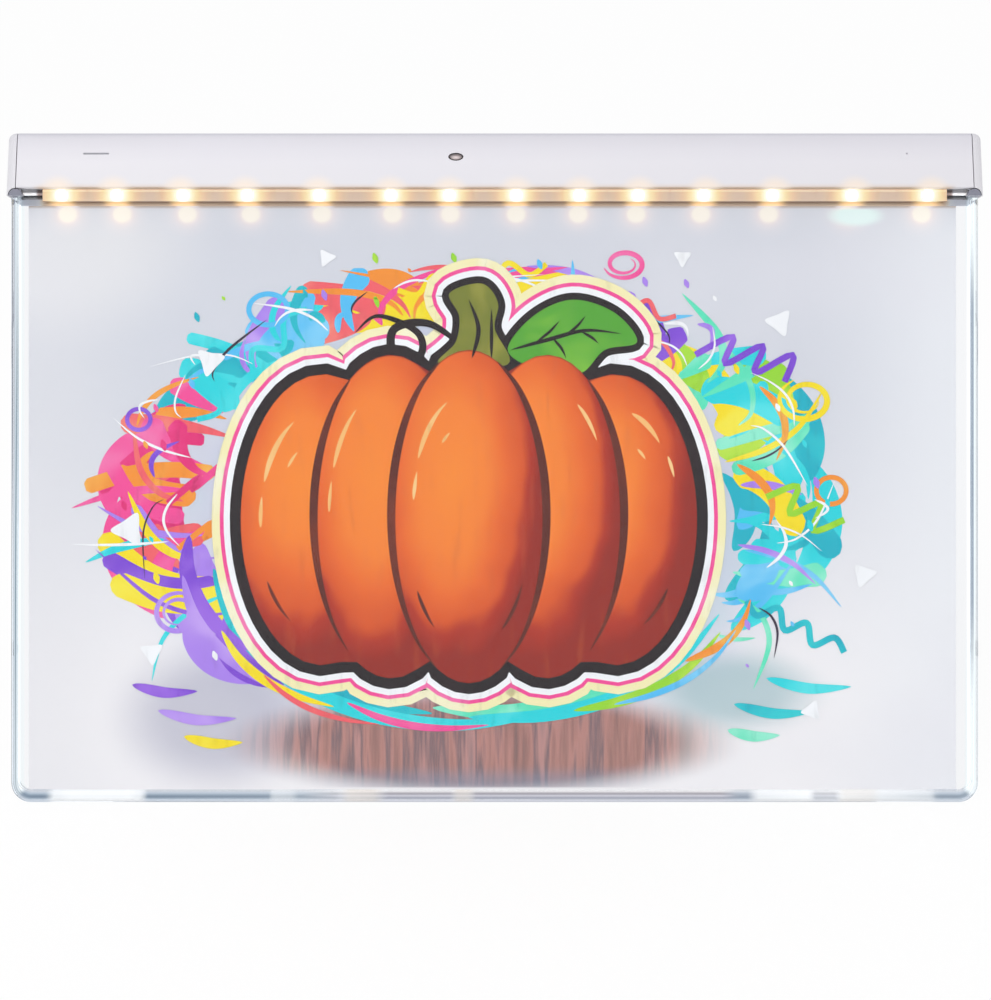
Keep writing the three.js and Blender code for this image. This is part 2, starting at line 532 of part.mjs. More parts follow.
// Rear shell: rear wall, floor and the rear part of the top in one section with the lamp lip, which
// carries the LED strip and clamps the board; a battery tray, hinge pockets and screw pads inside it
function rearShell() {
  const floor = BOARD_VISIBLE_HEIGHT + WALL;
  const ceiling = HOUSING_TOP - WALL;
  const lapFront = SHELL_SPLIT - SHELL_LAP + FIT_GAP;
  const lapTop = HOUSING_TOP - WALL / 2 - FIT_GAP;
  const section = [
    [LIP_FRONT, BOARD_VISIBLE_HEIGHT, SHARP_EDGE_RADIUS],
    [HOUSING_REAR, REAR_BOTTOM, REAR_BOTTOM_FILLET],
    [HOUSING_REAR, HOUSING_TOP, REAR_TOP_FILLET],
    [SHELL_SPLIT + FIT_GAP, HOUSING_TOP], [SHELL_SPLIT + FIT_GAP, lapTop], [lapFront, lapTop],
    [lapFront, ceiling], [REAR_INSIDE, ceiling, REAR_TOP_FILLET - WALL],
    [REAR_INSIDE, REAR_BOTTOM + WALL, REAR_BOTTOM_FILLET - WALL], [LIP_BACK, floor],
    [LIP_BACK, BOARD_TOP], [CLAMP_FRONT, BOARD_TOP], [CLAMP_FRONT, STRIP_TOP + FIT_GAP],
    [LIP_FRONT, STRIP_TOP + FIT_GAP],
  ];
  const inner = [LIP_BACK - WALL / 2, REAR_INSIDE + WALL / 2];
  const ribEnd = COMPARTMENT_END + COMPARTMENT_RIB;
  const ribZ = [SHELF_TOP - SHELF_THICKNESS, CELL_Z + CELL_RADIUS];
  const ribs = [
    box([-ribEnd, -COMPARTMENT_END], inner, ribZ),
    box([COMPARTMENT_END, ribEnd], inner, ribZ),
    box([-ribEnd, ribEnd], inner, [SHELF_TOP - SHELF_THICKNESS, SHELF_TOP]),
  ];
  const pads = [...housingScrewX, -capScrewX, capScrewX].map((x) => (
    rodBack(SCREW_PAD_DIAMETER, x, SCREW_Z, padBack, REAR_INSIDE + WALL / 2)
  ));
  const doorBoss = rodBack(DOOR_CUP_HOLE + 2 * SCREW_PAD_RIM, DOOR_SCREW_X, CELL_Z,
    HOUSING_REAR - SCREW_LENGTH, REAR_INSIDE + WALL / 2);
  const pocket = hingePocket();
  const walls = [-1, 1].map((side) => {
    const front = LIP_FRONT + WALL / 2;
    const back = pocket.back + WALL;
    const section = [
      [front, floor - WALL / 2], [back, REAR_BOTTOM - WALL / 2], [back, pocket.top + WALL],
      [front, pocket.top + WALL],
    ];
    return extrudeAcross(section, ...mirrored([pocket.inner - WALL, SHELL_END], side));
  });
  const whole = join(solid(extrudeAcross(section, -SHELL_END, SHELL_END)),
    [...ribs, ...pads, doorBoss, ...walls]);

  const pocketZ = [BOARD_VISIBLE_HEIGHT - CUT_OVERRUN, pocket.top];
  const pocketCuts = [-1, 1].flatMap((side) => [
    box(mirrored([pocket.inner, SHELL_END + CUT_OVERRUN], side), [LIP_BACK, pocket.back], pocketZ),
    box(mirrored([STRIP_LENGTH / 2, SHELL_END + CUT_OVERRUN], side), [LIP_FRONT - CUT_OVERRUN, pocket.back],
      [BOARD_VISIBLE_HEIGHT + LIP_SILL_HEIGHT, pocket.top]),
  ]);
  const seats = [...housingScrewX, -capScrewX, capScrewX].flatMap((x) => (
    screwSeatCuts(x, SCREW_Z, HOUSING_REAR)
  ));
  const channel = box(leadChannel(), [CLAMP_FRONT - CUT_OVERRUN, LIP_FRONT],
    [STRIP_TOP, BOARD_TOP + CUT_OVERRUN]);
  const doorway = doorOutline(-DOOR_OPENING_END, DOOR_OPENING_END, 0);
  const recess = doorOutline(DOOR_LEFT, DOOR_RIGHT, DOOR_CORNER_RADIUS);
  const cuts = [
    ...pocketCuts, ...seats, channel,
    extrudeBack(doorway, CELL_Y, HOUSING_REAR + CUT_OVERRUN),
    extrudeBack(recess, DOOR_SEAT, HOUSING_REAR + CUT_OVERRUN),
    rodBack(DOOR_CUP_HOLE, DOOR_SCREW_X, CELL_Z, DOOR_CUP_FRONT - FIT_GAP, HOUSING_REAR),
    screwSeatCuts(DOOR_SCREW_X, CELL_Z, HOUSING_REAR)[1],
  ];
  return piece('rear_shell', toGeometry(cut(whole, cuts)), MATERIALS.housing);
}

const mirrored = ([from, to], side) => (side > 0 ? [from, to] : [-to, -from]);

function leadChannel() {
  const middle = CONTROL_LEFT + STRIP_LEAD_INSET;
  return [middle - LEAD_CHANNEL_WIDTH / 2, middle + LEAD_CHANNEL_WIDTH / 2];
}

function doorOutline(left, right, radius, gap = 0) {
  return [
    [left + gap, DOOR_BOTTOM + gap, radius], [right - gap, DOOR_BOTTOM + gap, radius],
    [right - gap, DOOR_TOP - gap, radius], [left + gap, DOOR_TOP - gap, radius],
  ];
}

// The pocket in which the stand's elbow turns, open below, with its back edge where the arm stops
function hingePocket() {
  const radius = WIRE_DIAMETER / 2;
  const drop = PIVOT_Z - BOARD_VISIBLE_HEIGHT;
  const armBack = PIVOT_Y + drop * Math.tan(STAND_OPEN_ANGLE) + radius / Math.cos(STAND_OPEN_ANGLE);
  return {
    inner: ARM_X - radius - WIRE_SHOULDER_RADIUS / 2,
    back: armBack + WIRE_CLEARANCE,
    top: PIVOT_Z + BUSH_DIAMETER / 2 + FIT_GAP,
  };
}

// End caps: the housing's outline with rounded outer edges, notched round the hinge bush
function endCap(side, name) {
  const outline = [
    [frontFaceAt(BOARD_VISIBLE_HEIGHT), BOARD_VISIBLE_HEIGHT], [LIP_FRONT, BOARD_VISIBLE_HEIGHT],
    [HOUSING_REAR, REAR_BOTTOM, REAR_BOTTOM_FILLET],
    [HOUSING_REAR, HOUSING_TOP, REAR_TOP_FILLET],
    [frontFaceAt(HOUSING_TOP), HOUSING_TOP, FRONT_TOP_FILLET],
  ];
  const shape = new THREE.Shape(roundCorners(outline, true));
  const rounding = Math.min(CAP_EDGE_ROUNDING, FRONT_TOP_FILLET, REAR_BOTTOM_FILLET, REAR_TOP_FILLET);
  const rounded = new THREE.ExtrudeGeometry(shape, {
    depth: 2 * CAP_THICKNESS - 2 * CAP_SIDE_ROUNDING,
    bevelSize: rounding,
    bevelThickness: CAP_SIDE_ROUNDING,
    bevelOffset: -rounding,
    bevelSegments: ARC_STEPS,
  }).applyMatrix4(OUTLINE_YZ).translate(CAP_INSIDE - CAP_THICKNESS + CAP_SIDE_ROUNDING, 0, 0);
  const innerHalf = box([CAP_INSIDE - 2 * CAP_THICKNESS, CAP_INSIDE],
    [-HOUSING_DEPTH, HOUSING_DEPTH], [0, HOUSING_TOP + CUT_OVERRUN]);
  const plate = cut(solid(rounded), [innerHalf]);
  const plug = box([CAP_INSIDE - CAP_PLUG_LENGTH, CAP_INSIDE + WALL / 2], capPlugY, capPlugZ);

  const notchBack = PIVOT_Y + BUSH_DIAMETER / 2 + FIT_GAP;
  const acrossCap = [CAP_INSIDE - CUT_OVERRUN, OVERALL_WIDTH / 2 + CUT_OVERRUN];
  const below = BOARD_VISIBLE_HEIGHT - CUT_OVERRUN;
  const overRim = RIM_TOP + FIT_GAP;
  const tongueHalf = BUSH_TONGUE_WIDTH / 2 + SCREW_FIT;
  const cuts = [
    box(acrossCap, [-HOUSING_DEPTH, RIM_BACK + FIT_GAP], [below, overRim]),
    box(acrossCap, [RIM_BACK, notchBack], [below, PIVOT_Z]),
    rodBack(2 * CAP_NOTCH_RADIUS, CAP_INSIDE, FRONT_BOTTOM - CAP_NOTCH_RADIUS, -HOUSING_DEPTH, PIVOT_Y),
    bushForm(FIT_GAP, false),
    box([CAP_INSIDE - CUT_OVERRUN, CAP_INSIDE + BUSH_TONGUE_THICKNESS + FIT_GAP],
      [PIVOT_Y - tongueHalf, PIVOT_Y + tongueHalf],
      [PIVOT_Z, PIVOT_Z + BUSH_TONGUE_LENGTH + FIT_GAP]),
    screwSeatCuts(capScrewX, SCREW_Z, HOUSING_REAR)[1],
  ];
  const capped = toGeometry(cut(join(plate, [plug]), cuts));
  return piece(name, mirrorAcross(capped, side), MATERIALS.housing);
}

// Mirrors a right-hand geometry to the left, with its faces turned to point out again.
function mirrorAcross(geometry, side) {
  if (side > 0) return geometry;
  const merged = geometry.index ? geometry : mergeVertices(geometry);
  merged.scale(side, 1, 1);
  const corners = merged.index.array;
  for (let start = 0; start < corners.length; start += 3) {
    [corners[start], corners[start + 1]] = [corners[start + 1], corners[start]];
  }
  return merged;
}

// Hinge bushes: domed barrels that hold the stand's two ends
function bushForm(grow, bored) {
  const radius = BUSH_DIAMETER / 2 + grow;
  const bore = WIRE_DIAMETER / 2 + SCREW_FIT;
  const neck = bore + BUSH_NECK_WALL + grow;
  const outerEnd = OVERALL_WIDTH / 2 + BUSH_PROUD;
  const domeStart = outerEnd - BUSH_DOME;
  const barrelEnd = domeStart - BUSH_LENGTH;
  const innerEnd = barrelEnd - BUSH_NECK_LENGTH;
  const dome = Array.from({ length: ARC_STEPS + 1 }, (unused, index) => {
    const angle = (Math.PI / 2) * (index / ARC_STEPS);
    return [radius * Math.cos(angle), domeStart + (BUSH_DOME + grow) * Math.sin(angle)];
  });
  dome[ARC_STEPS][0] = 0;
  const boreEnd = outerEnd - BUSH_FLOOR;
  const start = bored ? [[0, boreEnd], [bore, boreEnd], [bore, innerEnd]] : [[0, innerEnd]];
  return turnAcross([...start, [neck, innerEnd], [radius, barrelEnd], ...dome], PIVOT_Y, PIVOT_Z);
}

// A lug on the bush that fills the cap's notch: in front of the board, and back beside it to the barrel
function bushLug() {
  const lugZ = FRONT_BOTTOM - CAP_NOTCH_RADIUS;
  const disc = solid(rodBack(2 * (CAP_NOTCH_RADIUS - FIT_GAP), CAP_INSIDE, lugZ,
    frontFaceAt(FRONT_BOTTOM) + FIT_GAP, PIVOT_Y - (BUSH_DIAMETER + WIRE_DIAMETER) / 4));
  const outer = OVERALL_WIDTH / 2;
  return cut(disc, [
    box([0, outer], [-HOUSING_DEPTH, HOUSING_DEPTH], [0, RIM_TOP + FIT_GAP]),
    box([0, CAP_INSIDE], [-FIT_GAP, HOUSING_DEPTH], [0, HOUSING_TOP]),
  ]);
}

function hingeBush(side, name) {
  const tongue = box([CAP_INSIDE + SCREW_FIT, CAP_INSIDE + BUSH_TONGUE_THICKNESS],
    [PIVOT_Y - BUSH_TONGUE_WIDTH / 2, PIVOT_Y + BUSH_TONGUE_WIDTH / 2],
    [PIVOT_Z + (WIRE_DIAMETER + BUSH_DIAMETER) / 4, PIVOT_Z + BUSH_TONGUE_LENGTH]);
  const bush = join(bushLug(), [bushForm(0, true), tongue]);
  return piece(name, mirrorAcross(toGeometry(bush), side), MATERIALS.bush);
}

function boardGasket() {
  const front = BOARD_THICKNESS + FIT_GAP;
  const gasket = box([-SHELL_END, SHELL_END], [front, front + GASKET_THICKNESS],
    [STRIP_TOP + FIT_GAP, BOARD_TOP]);
  return piece('board_gasket', gasket, MATERIALS.foam);
}

// LED strip
function ledStrip() {
  const half = STRIP_LENGTH / 2;
  const strip = box([-half, half], [STRIP_FRONT, STRIP_BACK], [BOARD_VISIBLE_HEIGHT + STRIP_RAISE, STRIP_TOP]);
  return piece('led_strip_board', strip, MATERIALS.strip);
}

function leds() {
  return LED_SHARES.map((share, index) => {
    const x = share * STRIP_LENGTH / 2;
    const body = box([x - LED_WIDTH / 2, x + LED_WIDTH / 2], [LED_FRONT, LED_FRONT + LED_DEPTH],
      [LED_Z - LED_HEIGHT / 2, LED_Z + LED_HEIGHT / 2]);
    const [left, right] = [x - LED_WIDTH / 2 + LED_FRAME, x + LED_WIDTH / 2 - LED_FRAME];
    const [low, high] = [LED_Z - LED_HEIGHT / 2 + LED_FRAME, LED_Z + LED_HEIGHT / 2 - LED_FRAME];
    const windowOutline = [
      [left, low, LED_WINDOW_RADIUS], [right, low, LED_WINDOW_RADIUS],
      [right, high, LED_WINDOW_RADIUS], [left, high, LED_WINDOW_RADIUS],
    ];
    const window = extrudeBack(windowOutline, LED_FRONT - CUT_OVERRUN, LED_FRONT + LED_WINDOW_DEPTH,
      LED_WINDOW_STEPS);
    const led = toGeometry(cut(solid(body), [window]));
    return piece(`led_${String(index + 1).padStart(2, '0')}`, led, MATERIALS.led);
  });
}

// Power button, with an oval head behind an oval hole and a flange that keeps it in
function ovalBack(width, height, frontY, backY) {
  const shape = new THREE.Shape();
  shape.absellipse(0, 0, width / 2, height / 2, 0, Math.PI * 2, false, 0);
  const geometry = new THREE.ExtrudeGeometry(shape, {
    depth: backY - frontY, bevelEnabled: false, curveSegments: ROUND_SIDES / 2,
  });
  return geometry.applyMatrix4(OUTLINE_XZ).translate(BUTTON_X, backY, BUTTON_Z);
}

function powerButton() {
  const headFront = frontFaceAt(BUTTON_Z - BUTTON_HEIGHT / 2) + BUTTON_RECESS;
  const head = ovalBack(BUTTON_WIDTH, BUTTON_HEIGHT, headFront, BUTTON_BACK);
  const flange = ovalBack(BUTTON_WIDTH + 2 * BUTTON_FLANGE_RIM, 2 * BUTTON_FLANGE_HALF,
    BUTTON_FLANGE_FRONT, BUTTON_BACK);
  const whole = join(solid(head), [flange]);
  return piece('power_button', toGeometry(whole), MATERIALS.button);
}

function switchParts() {
  const half = SWITCH_SIZE / 2;
  const plungerFront = BUTTON_BACK + SCREW_FIT;
  const plungerBack = plungerFront + PLUNGER_LENGTH;
  const hole = rodBack(PLUNGER_DIAMETER + 2 * SCREW_FIT, BUTTON_X, BUTTON_Z,
    SWITCH_FRONT - CUT_OVERRUN, plungerBack + BUTTON_TRAVEL + SCREW_FIT);
  const body = box([BUTTON_X - half, BUTTON_X + half], [SWITCH_FRONT, SWITCH_BACK],
    [BUTTON_Z - half, BUTTON_Z + half]);
  const plunger = rodBack(PLUNGER_DIAMETER, BUTTON_X, BUTTON_Z, plungerFront, plungerBack);
  return [
    piece('tact_switch', toGeometry(cut(solid(body), [hole])), MATERIALS.black),
    piece('switch_plunger', plunger, MATERIALS.black),
  ];
}

const controlScrewX = [CONTROL_LEFT + CONTROL_POST_INSET, CONTROL_RIGHT - CONTROL_POST_INSET];

function controlBoard() {
  const board = box([CONTROL_LEFT, CONTROL_RIGHT], [CONTROL_FRONT, CONTROL_BACK],
    [CONTROL_BOTTOM, CONTROL_BOTTOM + CONTROL_HEIGHT]);
  const holes = controlScrewX.map((x) => (
    rodBack(CONTROL_SCREW_DIAMETER + 2 * SCREW_FIT, x, BATTERY_LEAD_Z,
      CONTROL_FRONT - CUT_OVERRUN, CONTROL_BACK + CUT_OVERRUN)
  ));
  return piece('control_board', toGeometry(cut(solid(board), holes)), MATERIALS.circuit);
}

function controlScrews() {
  return controlScrewX.map((x, index) => {
    const headFront = CONTROL_BACK + SCREW_FIT;
    const head = rodBack(CONTROL_SCREW_HEAD_DIAMETER, x, BATTERY_LEAD_Z, headFront,
      headFront + CONTROL_SCREW_HEAD_HEIGHT);
    const shank = rodBack(CONTROL_SCREW_DIAMETER, x, BATTERY_LEAD_Z,
      CONTROL_FRONT - CONTROL_SCREW_REACH, headFront + CONTROL_SCREW_HEAD_HEIGHT / 2);
    const screw = toGeometry(join(solid(head), [shank]));
    return piece(`control_screw_${index + 1}`, screw, MATERIALS.steel);
  });
}

// Leads from the control board down to the strip and out to the two battery contacts
function leads() {
  const middle = CONTROL_LEFT + STRIP_LEAD_INSET;
  const stripY = (STRIP_FRONT + STRIP_BACK) / 2;
  const down = (x) => {
    const length = CONTROL_BOTTOM - STRIP_TOP - 2 * FIT_GAP;
    const geometry = new THREE.CylinderGeometry(LEAD_DIAMETER / 2, LEAD_DIAMETER / 2, length, WIRE_SIDES);
    return geometry.rotateX(Math.PI / 2).translate(x, stripY, STRIP_TOP + FIT_GAP + length / 2);
  };
  const plusEnd = COMPARTMENT_END - 2 * FIT_GAP - CONTACT_THICKNESS;
  const across = (from, to) => rodAcross(LEAD_DIAMETER, from, to, CONTROL_MIDDLE_Y, BATTERY_LEAD_Z);
  return [
    piece('strip_lead_red', down(middle - LEAD_SPACING / 2), MATERIALS.red),
    piece('strip_lead_black', down(middle + LEAD_SPACING / 2), MATERIALS.black),
    piece('battery_lead_red', across(CONTROL_RIGHT + FIT_GAP, plusEnd), MATERIALS.red),
    piece('battery_lead_black', across(-plusEnd, CONTROL_LEFT - FIT_GAP), MATERIALS.black),
  ];
}

// Three cells in line, plus ends to the right
function cells() {
  const body = CELL_LENGTH - CELL_NUB_LENGTH;
  const shoulder = CELL_RADIUS - CELL_EDGE_ROUNDING;
  const profile = [
    [0, 0], [shoulder, 0], [CELL_RADIUS, CELL_EDGE_ROUNDING], [CELL_RADIUS, body - CELL_EDGE_ROUNDING],
    [shoulder, body], [CELL_NUB_DIAMETER / 2, body], [CELL_NUB_DIAMETER / 2, CELL_LENGTH],
    [0, CELL_LENGTH],
  ];
  return Array.from({ length: CELL_COUNT }, (unused, index) => {
    const start = CELL_START + index * (CELL_LENGTH + FIT_GAP);
    const geometry = turnAcross(profile, CELL_Y, CELL_Z).translate(start, 0, 0);
    return piece(`battery_cell_${index + 1}`, geometry, MATERIALS.cell);
  });
}

function contactPlate(name, fromX) {
  const reachX = [fromX, fromX + CONTACT_THICKNESS];
  const half = CONTACT_SIZE / 2;
  const plate = box(reachX, [CELL_Y - half, CELL_Y + half], [CELL_Z - half, CELL_Z + half]);
  const tab = box(reachX, [CONTROL_FRONT, CELL_Y],
    [BATTERY_LEAD_Z - CONTACT_TAB_HEIGHT / 2, BATTERY_LEAD_Z + CONTACT_TAB_HEIGHT / 2]);
  return piece(name, toGeometry(join(solid(plate), [tab])), MATERIALS.steel);
}

function contactSpring() {
  const start = CELL_START - FIT_GAP - SPRING_LENGTH + SPRING_WIRE / 2;
  const run = SPRING_LENGTH - SPRING_WIRE;
  const steps = Math.round(SPRING_TURNS * 12);
  const stations = Array.from({ length: steps + 1 }, (unused, index) => {
    const share = index / steps;
    const angle = share * SPRING_TURNS * 2 * Math.PI;
    const radius = THREE.MathUtils.lerp(SPRING_WIDE_RADIUS, SPRING_NARROW_RADIUS, share);
    return new THREE.Vector3(
      start + share * run, CELL_Y + radius * Math.cos(angle), CELL_Z + radius * Math.sin(angle),
    );
  });
  return piece('contact_spring', sweepRound(stations, SPRING_WIRE, 6), MATERIALS.steel);
}

function contacts() {
  return [
    contactPlate('contact_plate_minus', FIT_GAP - COMPARTMENT_END),
    contactPlate('contact_plate_plus', COMPARTMENT_END - FIT_GAP - CONTACT_THICKNESS),
    contactSpring(),
  ];
}

// Battery door: a plate flush with the rear face, its thicker middle in the doorway
function batteryDoor() {
  const plateOutline = doorOutline(DOOR_LEFT, DOOR_RIGHT, DOOR_CORNER_RADIUS, FIT_GAP);
  const innerOutline = doorOutline(-DOOR_OPENING_END, DOOR_OPENING_END, 0, FIT_GAP);
  const plate = extrudeBack(plateOutline, DOOR_SEAT + SCREW_FIT, HOUSING_REAR);
  const inner = extrudeBack(innerOutline, REAR_INSIDE, HOUSING_REAR - SCREW_FIT);
  const cup = rodBack(DOOR_CUP_DIAMETER, DOOR_SCREW_X, CELL_Z, DOOR_CUP_FRONT, HOUSING_REAR);
  const grips = Array.from({ length: DOOR_GRIP_COUNT }, (unused, index) => {
    const left = DOOR_LEFT + DOOR_GRIP_INSET + index * DOOR_GRIP_PITCH;
    return box([left, left + DOOR_GRIP_WIDTH], [HOUSING_REAR - DOOR_GRIP_DEPTH, HOUSING_REAR + CUT_OVERRUN],
      [CELL_Z - DOOR_GRIP_HEIGHT / 2, CELL_Z + DOOR_GRIP_HEIGHT / 2]);
  });
  const whole = cut(join(solid(plate), [inner, cup]),
    [...screwSeatCuts(DOOR_SCREW_X, CELL_Z, HOUSING_REAR), ...grips]);
  return piece('battery_door', toGeometry(whole), MATERIALS.housing);
}

// Wire stand: one bent wire, drawn hanging straight down from its hinge axis
function standStations(length) {
  const pivotEnd = OVERALL_WIDTH / 2 + BUSH_PROUD - BUSH_FLOOR - SCREW_FIT;
  const corners = [
    [-pivotEnd, 0], [-ARM_X, 0, WIRE_SHOULDER_RADIUS], [-ARM_X, -length, WIRE_CORNER_RADIUS],
    [ARM_X, -length, WIRE_CORNER_RADIUS], [ARM_X, 0, WIRE_SHOULDER_RADIUS], [pivotEnd, 0],
  ];
  return roundCorners(corners, false).map((point) => new THREE.Vector3(point.x, 0, point.y));
}

function standPieces(length) {
  const wire = piece('wire_stand', sweepRound(standStations(length), WIRE_DIAMETER, WIRE_SIDES),
    MATERIALS.steel);
  const bore = WIRE_DIAMETER / 2 + SCREW_FIT;
  const outer = FOOT_DIAMETER / 2;
  const half = FOOT_LENGTH / 2;
  const edge = outer - bore;
  const profile = [
    [bore, -half], [outer - edge / 2, -half], [outer, edge / 2 - half], [outer, half - edge / 2],
    [outer - edge / 2, half], [bore, half], [bore, -half],
  ];
  const feet = [['stand_foot_left', -1], ['stand_foot_right', 1]].map(([name, side]) => {
    const geometry = turnAcross(profile, 0, -length).translate(side * FOOT_SHARE * ARM_X, 0, 0);
    return piece(name, geometry, MATERIALS.rubber);
  });
  return [wire, ...feet];
}

// Assembly: the board leans back, and the stand is as long as its foot needs to reach the floor
const board = clearBoard();
const leaning = new THREE.Group();
leaning.rotation.x = -LEAN_ANGLE;
leaning.add(
  board,
  pictureSheet(),
  frontShell(),
  rearShell(),
  endCap(-1, 'end_cap_left'),
  endCap(1, 'end_cap_right'),
  hingeBush(-1, 'hinge_bush_left'),
  hingeBush(1, 'hinge_bush_right'),
  boardGasket(),
  ledStrip(),
  ...leds(),
  powerButton(),
  ...switchParts(),
  controlBoard(),
  ...controlScrews(),
  ...leads(),
  ...cells(),
  ...contacts(),
  batteryDoor(),
  rearScrew('door_screw', DOOR_SCREW_X, CELL_Z, HOUSING_REAR - SCREW_SINK),
  ...housingScrewX.map((x, index) => (
    rearScrew(`housing_screw_${index + 1}`, x, SCREW_Z, HOUSING_REAR - SCREW_SINK)
  )),
  rearScrew('end_cap_screw_left', -capScrewX, SCREW_Z, HOUSING_REAR - SCREW_SINK),
  rearScrew('end_cap_screw_right', capScrewX, SCREW_Z, HOUSING_REAR - SCREW_SINK),
);
leaning.updateMatrixWorld(true);

const floorZ = new THREE.Box3().setFromObject(board, true).min.z;
const pivot = new THREE.Vector3(0, PIVOT_Y, PIVOT_Z);
const pivotHeight = pivot.clone().applyMatrix4(leaning.matrixWorld).z - floorZ;
const standLength = (pivotHeight - FOOT_DIAMETER / 2) / Math.cos(STAND_OPEN_ANGLE - LEAN_ANGLE);

const stand = new THREE.Group();
stand.position.copy(pivot);
stand.rotation.x = STAND_OPEN_ANGLE;
stand.add(...standPieces(standLength));
leaning.add(stand);

const drawingBoard = new THREE.Group();
drawingBoard.add(leaning);
drawingBoard.updateMatrixWorld(true);
const bounds = new THREE.Box3().setFromObject(drawingBoard, true);
const centre = bounds.getCenter(new THREE.Vector3());
drawingBoard.position.set(-centre.x, -centre.y, -floorZ);

export default drawingBoard;
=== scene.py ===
import bpy
import random
from math import radians, sin, cos, pi, hypot
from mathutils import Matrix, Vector


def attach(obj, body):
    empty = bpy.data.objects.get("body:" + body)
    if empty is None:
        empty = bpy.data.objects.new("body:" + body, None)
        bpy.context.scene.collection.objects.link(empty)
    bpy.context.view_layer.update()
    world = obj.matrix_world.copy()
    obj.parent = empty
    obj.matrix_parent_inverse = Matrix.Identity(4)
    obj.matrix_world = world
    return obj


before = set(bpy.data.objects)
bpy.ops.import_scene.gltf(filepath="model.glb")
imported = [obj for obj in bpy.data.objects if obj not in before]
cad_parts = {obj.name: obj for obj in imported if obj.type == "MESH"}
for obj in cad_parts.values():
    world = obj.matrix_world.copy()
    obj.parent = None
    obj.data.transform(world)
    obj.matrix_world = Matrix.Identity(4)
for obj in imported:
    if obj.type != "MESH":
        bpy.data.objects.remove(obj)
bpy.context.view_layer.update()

# Board frame: x to the right, y to the rear of the drawing face, z up from the board's bottom edge, in mm
LEAN = radians(20)
BOARD_ORIGIN = Vector((0, -60.095, 1.395))
LAMP_X = (-134.1, -117.0, -96.5, -76.6, -54.3, -32.1, -14.0, 6.7, 26.2, 44.4, 64.7, 86.0, 110.6, 134.0)
LAMP_HEIGHT = 187.5
BOARD_HALF = 149
CORNER = 6
SHEET_FRONT = 3.25
SLIT = (-122.7, 199.65)
GOURD = (-8, 88)
GOURD_REACH = (79, 60)
# The rim's reach for its painted lines and glow, and how far the lamps' painted light patches draw in on
# the sheet behind them
RIM_REACH = 4
RIM_LIGHT = 0.16
SHEET_PARALLAX = 1.016
TOWARD_VIEWER = Vector((0, -cos(LEAN), sin(LEAN)))


def on_board(x, y, z):
    """A place on the leaning board, in world metres."""
    return Vector((x + BOARD_ORIGIN.x,
                   y * cos(LEAN) + z * sin(LEAN) + BOARD_ORIGIN.y,
                   z * cos(LEAN) - y * sin(LEAN) + BOARD_ORIGIN.z)) / 1000


def srgb(red, green, blue):
    """A colour as seen, 0 to 255, as the shader's linear colour."""
    def linear(level):
        level /= 255
        return level / 12.92 if level <= 0.04045 else ((level + 0.055) / 1.055) ** 2.4
    return linear(red), linear(green), linear(blue), 1


# Node helpers
def add_node(tree, kind, **settings):
    node = tree.nodes.new(kind)
    for key, value in settings.items():
        setattr(node, key, value)
    return node


def join(tree, source, target):
    tree.links.new(source, target)


def feed(tree, value, socket):
    """Links a socket, or sets its number or colour; a colour of three numbers is one as seen."""
    if isinstance(value, bpy.types.NodeSocket):
        join(tree, value, socket)
    else:
        socket.default_value = srgb(*value) if isinstance(value, tuple) and len(value) == 3 else value


def connect(tree, shader, **sockets):
    """Feeds a shader's sockets by name, with _ for each space."""
    for socket, value in sockets.items():
        feed(tree, value, shader.inputs[socket.replace("_", " ")])


def math_function(operation):
    """A function that puts its values through Math nodes, one further value at a time."""
    def calculated(tree, first, *others):
        node = add_node(tree, "ShaderNodeMath", operation=operation)
        for socket, value in zip(node.inputs, (first, *others[:1])):
            feed(tree, value, socket)
        return calculated(tree, node.outputs[0], *others[1:]) if others[1:] else node.outputs[0]
    return calculated


add, subtract, multiply, divide = map(math_function, ("ADD", "SUBTRACT", "MULTIPLY", "DIVIDE"))
maximum, minimum, absolute = map(math_function, ("MAXIMUM", "MINIMUM", "ABSOLUTE"))
power, root = map(math_function, ("POWER", "SQRT"))


def fade(tree, value, start, end, low=0.0, high=1.0):
    """Value from start to end becomes low to high, smoothly, and stays there."""
    node = add_node(tree, "ShaderNodeMapRange", interpolation_type="SMOOTHSTEP")
    join(tree, value, node.inputs["Value"])
    for socket, limit in (("From Min", start), ("From Max", end), ("To Min", low), ("To Max", high)):
        node.inputs[socket].default_value = limit
    return node.outputs["Result"]


def blend(tree, share, first, second, kind="MIX"):
    """The first colour at share 0, the second at 1."""
    node = add_node(tree, "ShaderNodeMix", data_type="RGBA", blend_type=kind)
    for index, value in ((0, share), (6, first), (7, second)):
        feed(tree, value, node.inputs[index])
    return node.outputs[2]


def ramp(tree, value, stops):
    """Tones by value; each stop is a place with a colour as seen or with a level from 0 to 1."""
    node = add_node(tree, "ShaderNodeValToRGB")
    elements = node.color_ramp.elements
    while len(elements) < len(stops):
        elements.new(1)
    for element, (place, *tone) in zip(elements, stops):
        element.position = place
        element.color = srgb(*tone) if len(tone) == 3 else (*tone * 3, 1)
    join(tree, value, node.inputs[0])
    return node.outputs[0]


def part_way(tree, value, start, end):
    """0 at the start, 1 at the end, and in proportion elsewhere."""
    return divide(tree, subtract(tree, value, start), end - start)


def stretched(tree, place, scale):
    node = add_node(tree, "ShaderNodeMapping", vector_type="POINT")
    node.inputs["Scale"].default_value = scale
    join(tree, place, node.inputs["Vector"])
    return node.outputs["Vector"]


